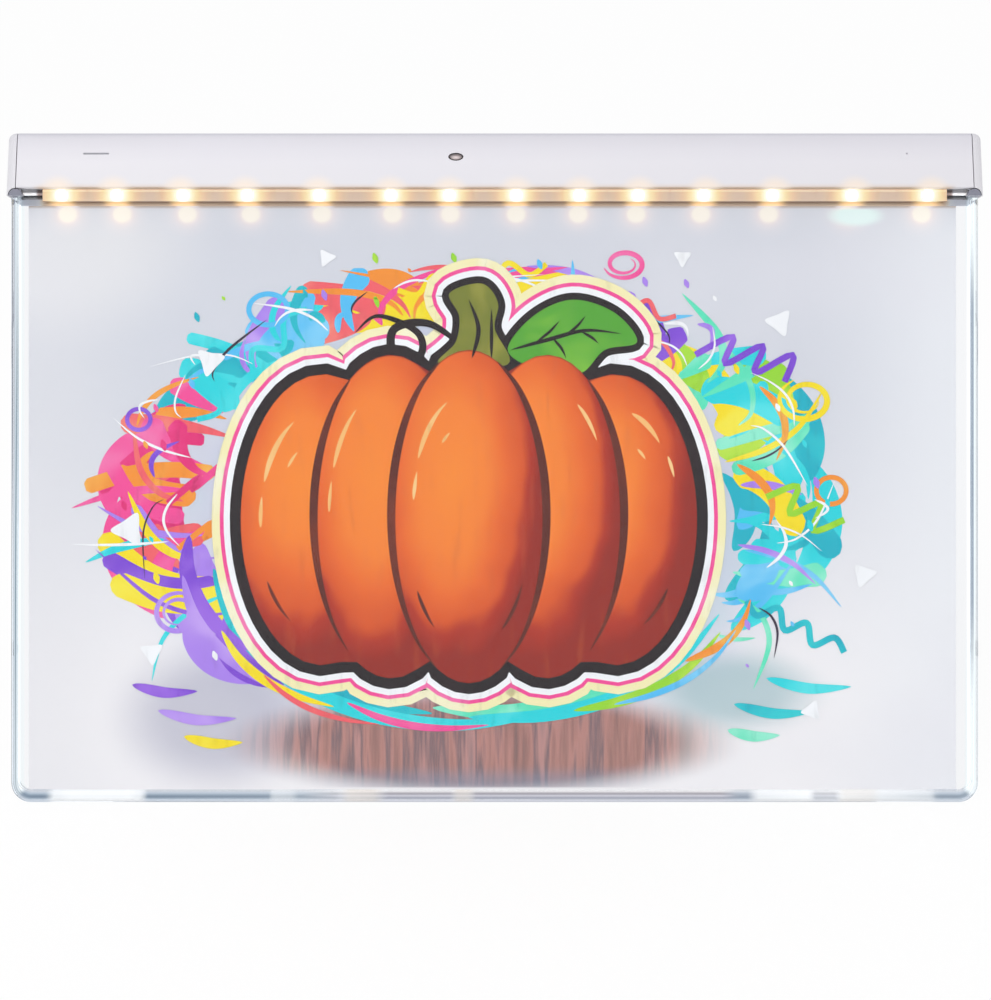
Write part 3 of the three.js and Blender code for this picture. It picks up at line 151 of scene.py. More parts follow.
def noise(tree, place, scale, detail=2.0, roughness=0.5, distortion=0.0):
    """Soft random tones; a scale of three numbers stretches them."""
    if isinstance(scale, tuple):
        place, scale = stretched(tree, place, scale), 1
    node = add_node(tree, "ShaderNodeTexNoise")
    join(tree, place, node.inputs["Vector"])
    for socket, value in (("Scale", scale), ("Detail", detail), ("Roughness", roughness),
                          ("Distortion", distortion)):
        node.inputs[socket].default_value = value
    return node.outputs["Fac"]


def object_place(tree):
    return add_node(tree, "ShaderNodeTexCoord").outputs["Object"]


def board_place(tree):
    """Object coordinates turned into the board frame, in mm."""
    mapping = add_node(tree, "ShaderNodeMapping", vector_type="POINT")
    mapping.inputs["Scale"].default_value = (1000, 1000, 1000)
    mapping.inputs["Rotation"].default_value = (LEAN, 0, 0)
    rise = -BOARD_ORIGIN.z
    mapping.inputs["Location"].default_value = (0,
                                                -BOARD_ORIGIN.y * cos(LEAN) - rise * sin(LEAN),
                                                -BOARD_ORIGIN.y * sin(LEAN) + rise * cos(LEAN))
    join(tree, object_place(tree), mapping.inputs["Vector"])
    return mapping.outputs["Vector"]


def axes_of(tree, place):
    node = add_node(tree, "ShaderNodeSeparateXYZ")
    join(tree, place, node.inputs[0])
    return node.outputs


def lamp_distance_group():
    """Distance in mm from the nearest lamp, along the board, once the place is shifted and scaled."""
    group = bpy.data.node_groups.new("distance_to_lamp", "ShaderNodeTree")
    for name, kind in (("Place", "Vector"), ("Height shift", "Float"), ("Height share", "Float"),
                       ("Across share", "Float")):
        group.interface.new_socket(name, in_out="INPUT", socket_type="NodeSocket" + kind)
    group.interface.new_socket("Distance", in_out="OUTPUT", socket_type="NodeSocketFloat")
    entry = add_node(group, "NodeGroupInput").outputs
    leave = add_node(group, "NodeGroupOutput")
    across, _, height = axes_of(group, entry["Place"])
    rise = add(group, subtract(group, height, LAMP_HEIGHT), entry["Height shift"])
    flat = add_node(group, "ShaderNodeCombineXYZ")
    join(group, multiply(group, across, entry["Across share"]), flat.inputs["X"])
    join(group, multiply(group, rise, entry["Height share"]), flat.inputs["Z"])
    gaps = []
    for lamp in LAMP_X:
        gap = add_node(group, "ShaderNodeVectorMath", operation="DISTANCE")
        join(group, flat.outputs[0], gap.inputs[0])
        gap.inputs[1].default_value = (lamp, 0, 0)
        gaps.append(gap.outputs["Value"])
    join(group, minimum(group, *gaps), leave.inputs["Distance"])
    return group


lamp_distance = lamp_distance_group()


def from_lamp(tree, place, shift=0.0, share=1.0, across=1.0):
    node = add_node(tree, "ShaderNodeGroup", node_tree=lamp_distance)
    join(tree, place, node.inputs["Place"])
    node.inputs["Height shift"].default_value = shift
    node.inputs["Height share"].default_value = share
    node.inputs["Across share"].default_value = across
    return node.outputs["Distance"]


def oval_distance(tree, place, centre, reach):
    """1 on an oval round the centre, in the plane of the board, less inside it."""
    mapping = add_node(tree, "ShaderNodeMapping", vector_type="POINT")
    mapping.inputs["Scale"].default_value = (1 / reach[0], 0, 1 / reach[1])
    mapping.inputs["Location"].default_value = (-centre[0] / reach[0], 0, -centre[1] / reach[1])
    join(tree, place, mapping.inputs["Vector"])
    node = add_node(tree, "ShaderNodeVectorMath", operation="LENGTH")
    join(tree, mapping.outputs["Vector"], node.inputs[0])
    return node.outputs["Value"]


def new_finish(name, roughness, metallic=0.0, **sockets):
    """A material with one Principled shader; constants sit on its sockets."""
    material = bpy.data.materials.new(name)
    material.use_nodes = True
    tree = material.node_tree
    shader = tree.nodes["Principled BSDF"]
    connect(tree, shader, Roughness=roughness, Metallic=metallic, **sockets)
    return material, tree, shader


def add_bump(tree, shader, height, depth, strength):
    node = add_node(tree, "ShaderNodeBump")
    node.inputs["Distance"].default_value = depth
    node.inputs["Strength"].default_value = strength
    join(tree, height, node.inputs["Height"])
    connect(tree, shader, Normal=node.outputs["Normal"])


def mix_surface(tree, share, first, second, output="Material Output"):
    """The first shader's output at share 0, the second's at 1, as the surface."""
    mix = add_node(tree, "ShaderNodeMixShader")
    for source, socket in zip((share, first, second), mix.inputs):
        join(tree, source, socket)
    join(tree, mix.outputs[0], tree.nodes[output].inputs["Surface"])


# Finishes
def moulded_plastic(name, low, high, roughness, grain=0.00002):
    """Moulded plastic: slightly uneven colour, fine spark grain, faint flow marks."""
    material, tree, shader = new_finish(name, roughness)
    place = object_place(tree)
    rough = fade(tree, noise(tree, place, 900), 0.3, 0.7, roughness - 0.06, roughness + 0.08)
    connect(tree, shader, Base_Color=blend(tree, noise(tree, place, 14, 3), low, high), Roughness=rough)
    add_bump(tree, shader, noise(tree, place, 2600), grain, 0.35)
    return material


def housing_plastic():
    """White housing: painted shade darker and cooler to the top, painted lamp light along its lower edge
    and on its lamp lip.
    """
    material, tree, shader = new_finish("housing_white", 0.36, Specular_IOR_Level=0.35)
    place = board_place(tree)
    across, back, height = axes_of(tree, place)
    aside = absolute(tree, across)
    # painted shade: darker and cooler towards the top
    colour = ramp(tree, part_way(tree, height, 188, 208), (
        (0.1, 223, 221, 225), (0.45, 224, 222, 227), (0.65, 219, 217, 223), (0.9, 209, 207, 214)))
    patch = noise(tree, place, (0.02, 0.02, 0.03))
    colour = blend(tree, fade(tree, patch, 0.35, 0.7, 0, 0.3), colour, (218, 217, 225))
    # painted shade on the rounded top edge and on the end caps' edges
    colour = blend(tree, fade(tree, height, 205.0, 206.2, 0, 0.6), colour, (186, 186, 196))
    colour = blend(tree, fade(tree, aside, 146.6, 147.4, 0, 0.7), colour, (215, 214, 218))
    near = from_lamp(tree, place, 0, 1.1)
    front = fade(tree, back, 1.0, -0.5)
    # brown shade along the lower edge, lost in the light at each lamp
    edge = ramp(tree, part_way(tree, height, 188.8, 190.8), (
        (0.03, 190, 160, 133), (0.08, 199, 176, 158), (0.17, 212, 198, 188), (0.32, 219, 209, 205),
        (0.5, 222, 216, 216), (0.8, 224, 221, 225)))
    at_edge = multiply(tree, front, fade(tree, height, 190.5, 190.2), fade(tree, aside, 142.5, 138.5))
    colour = blend(tree, at_edge, colour, edge)
    # painted lamp light: warmer colour on the face near each lamp
    colour = blend(tree, multiply(tree, fade(tree, near, 7.0, 2.2), front), colour, (228, 220, 211))
    # painted shade and lamp light on the lamp lip, which is white plastic: brown near the strip, warm lower
    # down, grey past the strip's ends
    lip = multiply(tree, fade(tree, back, 8.6, 8.2), fade(tree, height, 190.5, 190.0),
                   fade(tree, back, 5.2, 5.6))
    lip_shade = blend(tree, fade(tree, height, 185.5, 184.3), (166, 138, 112), (232, 206, 178))
    beyond = ramp(tree, fade(tree, aside, 139, 143), (
        (0.0, 214, 190, 164), (0.3, 222, 216, 206), (0.6, 218, 222, 228), (1.0, 206, 210, 220)))
    lip_shade = blend(tree, fade(tree, aside, 138.5, 140), lip_shade, beyond)
    colour = blend(tree, lip, colour, lip_shade)
    # hinge pockets, in shade
    pocket = multiply(tree, fade(tree, back, 8.1, 8.4), fade(tree, back, 18, 17),
                      fade(tree, height, 191.6, 191.2), fade(tree, aside, 131.5, 132))
    colour = blend(tree, pocket, colour, (176, 176, 186))
    # the slit, in shade
    slit = multiply(tree, fade(tree, absolute(tree, subtract(tree, height, SLIT[1])), 0.36, 0.28), front,
                    fade(tree, absolute(tree, subtract(tree, across, SLIT[0])), 4.0, 3.85))
    colour = blend(tree, slit, colour, (196, 196, 202))
    # painted lamp glow: emission on the face near each lamp and on the lamp lip
    light = blend(tree, lip, (255, 190, 130), (255, 204, 126))
    strength = multiply(tree, fade(tree, near, 7.0, 2.0, 0, 0.1), front)
    lip_light = multiply(tree, fade(tree, from_lamp(tree, place, 2.6), 5.5, 1.2, 0, 0.62), lip)
    connect(tree, shader, Base_Color=colour, Emission_Color=light,
            Emission_Strength=add(tree, strength, lip_light))
    add_bump(tree, shader, noise(tree, place, 2.4), 0.00002, 0.3)
    return material


def rim_places(tree, across, height):
    """Depth in mm inwards from the board's rounded outline, and 1 along its bottom, 0 along its sides."""
    side = subtract(tree, absolute(tree, across), BOARD_HALF - CORNER)
    low = subtract(tree, CORNER, height)
    squares = [power(tree, maximum(tree, leg, 0), 2) for leg in (side, low)]
    flat = minimum(tree, maximum(tree, side, low), 0)
    deep = subtract(tree, CORNER, add(tree, root(tree, add(tree, *squares)), flat))
    return deep, fade(tree, subtract(tree, low, side), -1.5, 1.5)


def fainter(tree, colour, inner, strong):
    """Pales a rim's inner lines wherever they aren't strong."""
    return blend(tree, multiply(tree, inner, subtract(tree, 1, strong)), colour, (246, 252, 254))


def clear_acrylic():
    """Clear moulded board: cool painted reflection lines, gleams and glow in its rim. Shadow and diffuse
    rays pass straight through.
    """
    material, tree, shader = new_finish("clear_acrylic", 0.02, IOR=1.49, Transmission_Weight=1.0,
                                        Emission_Color=(232, 246, 255))
    place = board_place(tree)
    across, _, height = axes_of(tree, place)
    deep, in_foot = rim_places(tree, across, height)
    below_housing = fade(tree, height, 187.2, 186.6)
    share = divide(tree, deep, RIM_REACH)
    # painted reflection lines in the rims; the left rim's lines lie further in the higher they are
    share_left = subtract(tree, share, fade(tree, height, 50, 150, -0.04, 0.06))
    rim_left = ramp(tree, share_left, (
        (0.0, 196, 200, 208), (0.04, 182, 186, 196), (0.075, 92, 94, 108), (0.115, 236, 242, 249),
        (0.21, 230, 242, 250), (0.28, 190, 206, 216), (0.36, 98, 117, 130), (0.41, 82, 103, 118),
        (0.45, 214, 224, 230), (0.475, 248, 252, 254)))
    rim_right = ramp(tree, share, (
        (0.0, 228, 231, 233), (0.08, 214, 218, 221), (0.14, 226, 231, 234), (0.22, 248, 254, 254),
        (0.28, 244, 253, 254), (0.34, 210, 221, 232), (0.39, 104, 116, 134), (0.45, 84, 98, 117),
        (0.51, 196, 207, 222), (0.56, 252, 253, 254)))
    # the inner painted dark lines fade out towards both ends
    rim_left = fainter(tree, rim_left, fade(tree, share_left, 0.26, 0.33), multiply(
        tree, fade(tree, height, 205, 110), fade(tree, height, 0, 60, 0.7, 1)))
    rim_right = fainter(tree, rim_right, fade(tree, share, 0.31, 0.37), multiply(
        tree, fade(tree, height, 180, 150), fade(tree, height, 24, 64)))
    right = fade(tree, across, -1, 1)
    rim = blend(tree, right, rim_left, rim_right)
    # bottom rim, painted reflections: one broad dark line at the ends, two narrow ones in the middle, none
    # where a painted gleam lies
    broad = ramp(tree, share, (
        (0.0, 236, 239, 243), (0.027, 222, 226, 233), (0.085, 206, 213, 224), (0.165, 194, 204, 217),
        (0.245, 168, 182, 198), (0.315, 142, 158, 176), (0.385, 118, 136, 154), (0.465, 139, 156, 174),
        (0.545, 162, 178, 195), (0.625, 184, 198, 214), (0.715, 203, 214, 227), (0.805, 204, 211, 222),
        (0.875, 226, 230, 236)))
    double = ramp(tree, share, (
        (0.0, 236, 237, 242), (0.022, 222, 224, 232), (0.076, 210, 212, 222), (0.155, 206, 208, 220),
        (0.225, 182, 185, 197), (0.295, 143, 147, 161), (0.375, 187, 189, 203), (0.455, 220, 219, 231),
        (0.535, 202, 200, 211), (0.605, 137, 135, 144), (0.685, 188, 185, 192), (0.765, 238, 237, 241),
        (0.865, 249, 249, 251)))
    gleam = ramp(tree, share, (
        (0.0, 226, 228, 230), (0.09, 224, 226, 228), (0.17, 230, 231, 233), (0.25, 240, 242, 243),
        (0.35, 248, 249, 250), (0.42, 238, 241, 244), (0.5, 248, 249, 250), (0.95, 249, 249, 251)))
    along = part_way(tree, across, -BOARD_HALF, BOARD_HALF)
    middle = ramp(tree, along, (
        (0.3, 0), (0.325, 0.55), (0.345, 1), (0.735, 1), (0.752, 0.25), (0.8, 0.25), (0.832, 0.7),
        (0.86, 0.8), (0.9, 0.25), (0.93, 0)))
    shine = ramp(tree, along, (
        (0.0347, 0), (0.043, 0.84), (0.06, 0.95), (0.122, 0.95), (0.135, 0.8), (0.1395, 0.02),
        (0.2654, 0.08), (0.2705, 0.5), (0.29, 0.45), (0.296, 0.2), (0.335, 0.25), (0.349, 0.6),
        (0.374, 0.5), (0.389, 0.05), (0.453, 0.08), (0.462, 0.48), (0.474, 0.44), (0.481, 0.04),
        (0.762, 0.08), (0.772, 0.82), (0.826, 0.98), (0.832, 0.4), (0.852, 0.4), (0.859, 0.88),
        (0.915, 0.75), (0.952, 0.6), (0.958, 0.12)))
    # painted warm reflections of the lamps in the bottom rim
    warm = ramp(tree, along, (
        (0.34, 0), (0.35, 1), (0.374, 1), (0.386, 0), (0.455, 0), (0.462, 1), (0.474, 0.8), (0.481, 0),
        (0.855, 0), (0.862, 0.6), (0.89, 0.6), (0.9, 0)))
    foot = blend(tree, shine, blend(tree, middle, broad, double), gleam)
    foot = blend(tree, multiply(tree, warm, 0.5), foot, (244, 230, 214), "MULTIPLY")
    colour = blend(tree, in_foot, rim, foot)
    seen = multiply(tree, below_housing, fade(tree, deep, 4.0, 3.6))
    connect(tree, shader, Base_Color=blend(tree, seen, (251, 252, 254), colour))
    # painted glow: the lamps' light that the rims carry, as emission
    carried_left = ramp(tree, share_left, (
        (0.1, 0), (0.15, 0.4), (0.22, 0.4), (0.28, 0), (0.43, 0), (0.46, 1), (0.6, 1), (0.68, 0)))
    carried_right = ramp(tree, share, (
        (0.1, 0), (0.2, 1), (0.3, 1), (0.37, 0), (0.48, 0), (0.53, 0.9), (0.74, 0.9), (0.82, 0)))
    carried_foot = ramp(tree, share, ((0.03, 0.35), (0.12, 0.15), (0.2, 0)))
    carried = blend(tree, in_foot, blend(tree, right, carried_left, carried_right), carried_foot)
    gleaming = multiply(tree, shine, in_foot, ramp(tree, share, (
        (0.14, 0), (0.26, 0.5), (0.85, 0.5), (0.95, 0))))
    # painted glow: the upright outer edges glow most
    outer = multiply(tree, fade(tree, deep, 0.05, 0.01, 0, 2.4), fade(tree, height, 1.5, 5.5))
    strength = multiply(tree, add(tree, carried, gleaming, outer), below_housing, RIM_LIGHT)
    smear = fade(tree, noise(tree, place, (0.05, 0.05, 0.012), 4), 0.45, 0.8, 0.01, 0.05)
    connect(tree, shader, Emission_Strength=strength, Roughness=smear)
    straight = add_node(tree, "ShaderNodeBsdfTransparent")
    straight.inputs["Color"].default_value = (0.97, 0.98, 0.99, 1)
    rays = add_node(tree, "ShaderNodeLightPath").outputs
    unbent = maximum(tree, rays["Is Shadow Ray"], rays["Is Diffuse Ray"])
    mix_surface(tree, unbent, shader.outputs[0], straight.outputs[0])
    return material


def hazy_film():
    """Hazy sheet: cool grey, paler below, with painted patches of lamp light and the design's soft washes.
    """
    material, tree, shader = new_finish("hazy_film", 0.45, Specular_IOR_Level=0.3, Emission_Strength=1.0)
    place = board_place(tree)
    across, back, height = axes_of(tree, place)
    colour = blend(tree, fade(tree, height, 130, 20), (214, 215, 221), (247, 243, 242))
    colour = blend(tree, fade(tree, across, -100, -142, 0, 0.5), colour, (228, 226, 227))
    colour = blend(tree, fade(tree, across, 90, 146, 0, 0.8), colour, (241, 241, 242))
    corner = oval_distance(tree, place, (-136, 172), (56, 36))
    colour = blend(tree, fade(tree, corner, 1.0, 0.3, 0, 0.9), colour, (232, 230, 230))
    cloud = noise(tree, place, (0.012, 0.012, 0.016))
    colour = blend(tree, fade(tree, cloud, 0.45, 0.75, 0, 0.4), colour, (232, 229, 233))
    # soft wash round the design
    wash = oval_distance(tree, place, (-6, 86), (114, 84))
    tints = ramp(tree, noise(tree, place, (0.02, 0.02, 0.02), 3, distortion=0.6), (
        (0.3, 176, 200, 214), (0.45, 196, 198, 220), (0.55, 204, 206, 222), (0.68, 178, 206, 206)))
    colour = blend(tree, fade(tree, wash, 1.02, 0.6, 0, 0.75), colour, tints)
    face = fade(tree, back, 3.5, 3.3, 0.3, 1)
    for centre, reach, tone in (
            ((-86, 26), (38, 28), (160, 160, 182)), ((74, 34), (32, 16), (128, 176, 182))):
        patch = fade(tree, oval_distance(tree, place, centre, reach), 1.0, 0.35, 0, 0.6)
        colour = blend(tree, multiply(tree, patch, face), colour, tone)
    # darker ground under the gourd, with upright streaks
    earth = ramp(tree, noise(tree, place, (0.11, 0.1, 0.008), 4, 0.6), (
        (0.32, 64, 44, 44), (0.42, 148, 92, 78), (0.48, 182, 118, 104), (0.54, 112, 76, 78),
        (0.6, 186, 126, 116), (0.67, 142, 104, 102), (0.76, 150, 176, 182)))
    earth = blend(tree, fade(tree, height, 12, 5, 0, 0.6), earth, (112, 132, 156))
    ground = fade(tree, oval_distance(tree, place, (-4, 18), (84, 19)), 1.0, 0.62, 0, 0.92)
    colour = blend(tree, multiply(tree, ground, fade(tree, height, 3.8, 4.7), face), colour, earth)
    colour = blend(tree, fade(tree, height, 172, 184, 0, 0.5), colour, (224, 225, 230))
    # from behind only a faint warm shape shows through
    shape = fade(tree, oval_distance(tree, place, GOURD, (78, 58)), 1.1, 0.6, 0, 0.6)
    colour = blend(tree, multiply(tree, subtract(tree, 1, face), shape), colour, (238, 206, 184))
    # warm shade of the lip on the top edge, lost in the light below each lamp
    beside = from_lamp(tree, place, 0, 0, SHEET_PARALLAX)
    shade = multiply(tree, fade(tree, height, 182.9, 184.0), fade(tree, beside, 2.4, 4.6))
    colour = blend(tree, shade, colour, (190, 174, 164))
    colour = blend(tree, 1.0, colour, (1.03, 1.03, 1.03, 1), "MULTIPLY")
    # painted pools of lamp light below each lamp, as emission
    glow = ramp(tree, divide(tree, from_lamp(tree, place, 6.1, 1.12, SHEET_PARALLAX), 9), (
        (0.0, 152, 132, 74), (0.27, 150, 130, 72), (0.36, 120, 86, 40), (0.43, 98, 64, 32),
        (0.57, 74, 52, 32), (0.7, 48, 30, 16), (0.95, 0, 0, 0)))
    # one painted light patch is cyan
    cyan = multiply(tree, fade(tree, oval_distance(tree, place, (111.5, 181), (9.5, 3.8)), 1.1, 0.5),
                    fade(tree, height, 183.6, 182.6))
    connect(tree, shader, Base_Color=colour, Emission_Color=blend(tree, cyan, glow, (88, 132, 108)))
    add_bump(tree, shader, noise(tree, place, 1.8), 0.00001, 0.2)
    return material


def button_plastic():
    """Pale button: its rim is in shade along the top and at both ends."""
    material = moulded_plastic("button_pale", (244, 238, 238), (255, 250, 250), 0.3)
    tree = material.node_tree
    base = tree.nodes["Principled BSDF"].inputs["Base Color"]
    shade = ramp(tree, oval_distance(tree, board_place(tree), (-12.0, 198.5), (2.4, 0.95)), (
        (0.0, 240, 230, 228), (0.33, 214, 204, 203), (0.58, 178, 170, 170), (0.7, 138, 130, 130),
        (1.0, 124, 118, 120)))
    join(tree, blend(tree, 1.0, base.links[0].from_socket, shade, "MULTIPLY"), base)
    return material


def strip_board():
    """Beige strip: pale edges, coppery tracks under the mask, painted shade along its top and bottom, warm
    painted lamp light.
    """
    material, tree, shader = new_finish("strip_board", 0.42, Emission_Strength=1.0)
    place = board_place(tree)
    height = axes_of(tree, place)[2]
    rail = multiply(tree, fade(tree, height, 188.4, 188.6), fade(tree, height, 189.5, 189.3))
    plain = blend(tree, rail, (220, 200, 182), (248, 228, 206))
    grain = noise(tree, place, (0.6, 0.1, 0.1), 3)
    plain = blend(tree, fade(tree, grain, 0.5, 0.8, 0, 0.4), plain, (198, 172, 150))
    # painted shade along the strip's lower and upper edges
    lower = fade(tree, height, 185.75, 185.5)
    plain = blend(tree, lower, plain, (156, 130, 112))
    upper = fade(tree, height, 189.15, 189.35)
    connect(tree, shader, Base_Color=blend(tree, upper, plain, (150, 126, 108)))
    # painted lamp glow: emission brightest near each lamp, dimmed at the shaded edges and raised along the
    # rail
    near = from_lamp(tree, place, 0, 0.9)
    light = ramp(tree, divide(tree, near, 12), (
        (0.0, 255, 255, 250), (0.14, 236, 238, 226), (0.19, 194, 204, 184), (0.24, 194, 196, 160),
        (0.31, 193, 180, 122), (0.385, 192, 167, 100), (0.47, 179, 145, 87), (0.55, 164, 129, 84),
        (0.625, 152, 122, 84), (0.7, 148, 123, 90), (0.78, 141, 117, 95)))
    dark_edge = multiply(tree, maximum(tree, lower, upper), fade(tree, near, 3.0, 5.0))
    light = blend(tree, dark_edge, light, (70, 52, 40))
    bright_rail = multiply(tree, rail, fade(tree, near, 4.0, 6.0, 0, 0.4))
    light = blend(tree, bright_rail, light, (210, 170, 130))
    connect(tree, shader, Emission_Color=light)
    add_bump(tree, shader, rail, 0.00003, 0.4)
    return material


def lamp_package():
    """Lit lamp: bright window in a pale frame."""
    material, tree, shader = new_finish("lamp_lit", 0.35)
    near = from_lamp(tree, board_place(tree))
    colour = blend(tree, fade(tree, near, 1.9, 1.2), (245, 240, 228), (255, 230, 150))
    light = blend(tree, fade(tree, near, 2.3, 1.5), (255, 244, 196), (255, 253, 246))
    connect(tree, shader, Base_Color=colour, Emission_Color=light,
            Emission_Strength=fade(tree, near, 2.3, 1.2, 0.4, 1.4))
    return material


def bright_metal(name, colour, roughness):
    """Plated metal: fine drawn lines and slight unevenness."""
    material, tree, shader = new_finish(name, roughness, 1.0)
    place = object_place(tree)
    dark = tuple(level * 0.86 for level in srgb(*colour)[:3]) + (1,)
    lines = noise(tree, stretched(tree, place, (0.2, 1, 1)), 700)
    rough = fade(tree, lines, 0.3, 0.75, roughness * 0.6, roughness * 1.8)
    connect(tree, shader, Base_Color=blend(tree, noise(tree, place, 60, 3), dark, colour), Roughness=rough)
    add_bump(tree, shader, lines, 0.000004, 0.3)
    return material


def stand_chrome():
    """Bright wire; in the hinge pockets painted shade leaves only a narrow painted gleam along it, with a
    painted warm reflection of the strip near its ends.
    """
    material = bright_metal("stand_chrome", (214, 216, 222), 0.1)
    tree = material.node_tree
    shader = tree.nodes["Principled BSDF"]
    plain = shader.inputs["Base Color"].links[0].from_socket
    across, _, height = axes_of(tree, board_place(tree))
    # painted reflection of the dark pocket: shade on the wire below its middle and a little above it
    rise = part_way(tree, height, 186, 190)
    shade = ramp(tree, rise, ((0.3, 0.22), (0.4, 0.24), (0.45, 1.0), (0.62, 1.0), (0.68, 0.95), (0.8, 0.9)))
    aside = absolute(tree, across)
    pivot = multiply(tree, fade(tree, aside, 135.5, 136.5), fade(tree, height, 186.2, 186.5))
    colour = blend(tree, pivot, plain, blend(tree, 1.0, plain, shade, "MULTIPLY"))
    # painted warm reflection of the strip's light on the wire near the strip's end
    painted_strip_reflection = multiply(tree, pivot, fade(tree, aside, 142.8, 141.8))
    colour = blend(tree, painted_strip_reflection, colour, (150, 104, 92), "MULTIPLY")
    # painted gleam along the wire's middle, as emission
    gleam = multiply(tree, ramp(tree, rise, ((0.42, 0), (0.47, 1), (0.6, 1), (0.65, 0.15))), pivot,
                     fade(tree, aside, 141.5, 143.5, 0.25, 1), 0.82)
    connect(tree, shader, Base_Color=colour, Emission_Color=(255, 250, 244), Emission_Strength=gleam)
    return material


# Each finish, with the pieces that have it
SCREWS = "control_screw_1 control_screw_2 door_screw end_cap_screw_left end_cap_screw_right"
for finish, pieces in (
        (housing_plastic(), "front_shell rear_shell end_cap_left end_cap_right battery_door"),
        (clear_acrylic(), "clear_board"),
        (hazy_film(), "picture_sheet"),
        (strip_board(), "led_strip_board"),
        (lamp_package(), " ".join(f"led_{number:02d}" for number in range(1, 15))),
        (moulded_plastic("bush_grey", (119, 120, 133), (139, 140, 153), 0.3),
         "hinge_bush_left hinge_bush_right"),
        (moulded_plastic("foam_white", (226, 226, 224), (242, 242, 240), 0.9, 0.0002), "board_gasket"),
        (button_plastic(), "power_button"),
        (moulded_plastic("switch_black", (26, 26, 28), (44, 44, 48), 0.4), "tact_switch switch_plunger"),
        (moulded_plastic("circuit_green", (22, 84, 52), (34, 104, 64), 0.35), "control_board"),
        (moulded_plastic("lead_red", (186, 24, 24), (210, 40, 36), 0.35),
         "strip_lead_red battery_lead_red"),
        (moulded_plastic("lead_black", (20, 20, 22), (38, 38, 40), 0.35),
         "strip_lead_black battery_lead_black"),
        (moulded_plastic("foot_rubber", (196, 198, 202), (212, 213, 217), 0.75, 0.00008),
         "stand_foot_left stand_foot_right"),
        (moulded_plastic("cell_sleeve", (164, 174, 186), (178, 187, 198), 0.28),
         "battery_cell_1 battery_cell_2 battery_cell_3"),
        (stand_chrome(), "wire_stand"),
        (bright_metal("contact_nickel", (196, 190, 178), 0.2),
         "contact_plate_minus contact_plate_plus contact_spring"),
        (bright_metal("screw_zinc", (180, 182, 188), 0.28),
         SCREWS + "".join(f" housing_screw_{number}" for number in range(1, 5)))):
    for name in pieces.split():
        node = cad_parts[name]
        node.data.materials.clear()
        node.data.materials.append(finish)

# The marker design: ribbons of ink on the sheet's face, each a hair nearer the viewer than the one before
INK_BASE = 0.012
INK_STEP = 0.0007
LOBES = ((0, 0, 24, 51.5), (-24, 0, 24, 50), (24, 0, 24, 50), (-45, -1, 25.5, 45), (45, -1, 25.5, 45))
INKS = {
    "aqua": ((24, 216, 222), (84, 232, 234)), "teal": ((0, 180, 198), (40, 208, 212)),
    "sky": ((84, 194, 244), (140, 216, 250)), "mint": ((92, 232, 188), (154, 244, 212)),
    "lime": ((154, 220, 44), (200, 236, 76)), "yellow": ((254, 226, 14), (254, 238, 70)),
    "orange": ((252, 148, 44), (252, 184, 80)), "coral": ((248, 96, 104), (252, 142, 124)),
    "pink": ((250, 74, 152), (252, 124, 180)), "magenta": ((234, 38, 118), (248, 74, 146)),
    "lavender": ((174, 132, 236), (202, 166, 244)), "violet": ((128, 70, 212), (164, 110, 230)),
    "chalk": ((250, 250, 250), (255, 255, 255)), "pencil": ((48, 38, 58), (70, 56, 78)),
    "cream": ((252, 242, 184), (254, 248, 212)), "outline": ((22, 6, 14), (32, 12, 18)),
    "highlight": ((252, 192, 116), (254, 212, 146)), "crease": ((92, 28, 14), (118, 42, 20)),
}
ink_strokes = {ink: [] for ink in INKS}
ink_fills = []


def ink_height():
    return INK_BASE + INK_STEP * (sum(len(kept) for kept in ink_strokes.values()) + len(ink_fills))


def smooth_path(knots, closed=False, per_span=7):
    """Points on a smooth curve through the knots."""
    count = len(knots)
    spans = count if closed else count - 1
    path = []
    for span in range(spans):
        four = [knots[(span + shift) % count] if closed else knots[min(max(span + shift, 0), count - 1)]
                for shift in (-1, 0, 1, 2)]
        for step in range(per_span):
            t = step / per_span
            path.append(tuple(
                0.5 * (2 * b + (c - a) * t + (2 * a - 5 * b + 4 * c - d) * t ** 2
                       + (3 * b - a - 3 * c + d) * t ** 3)
                for a, b, c, d in zip(*four)))
    if not closed:
        path.append(tuple(knots[-1]))
    return path


def draw_stroke(ink, knots, width, shape="marker", closed=False, per_span=7):
    """Keeps one ribbon: a marker stroke has round ends, a brush stroke thin ones, a drop one of each."""
    path = smooth_path(knots, closed, per_span)
    lengths = [0.0]
    for before, after in zip(path, path[1:]):
        lengths.append(lengths[-1] + hypot(after[0] - before[0], after[1] - before[1]))
    whole = max(lengths[-1], 0.01)
    widths = []
    for length in lengths:
        share = length / whole
        cap = min(0.5, 0.5 * width / whole)
        round_start = sin(pi / 2 * min(1, (share + 0.02) / cap))
        round_end = sin(pi / 2 * min(1, (1 - share + 0.02) / cap))
        if closed:
            grow = 1
        elif shape == "marker":
            grow = min(round_start, round_end)
        elif shape == "brush":
            grow = 0.06 + 0.94 * sin(pi * share ** 0.8) ** 0.75
        else:
            grow = min(0.05 + share ** 0.8, round_end)
        widths.append(width * grow)
    ink_strokes[ink].append((path, widths, ink_height(), closed))


def ring_at(centre, radius, turns=1.0, start=0.0, flat=1.0, shrink=0.0):
    """Places on a ring, or on a spiral where it turns more than once or shrinks."""
    steps = max(8, int(12 * turns))
    places = []
    for step in range(steps + (0 if turns == 1.0 and not shrink else 1)):
        reach = radius - shrink * step / steps
        angle = start + 2 * pi * turns * step / steps
        places.append((centre[0] + reach * cos(angle), centre[1] + flat * reach * sin(angle)))
    return places


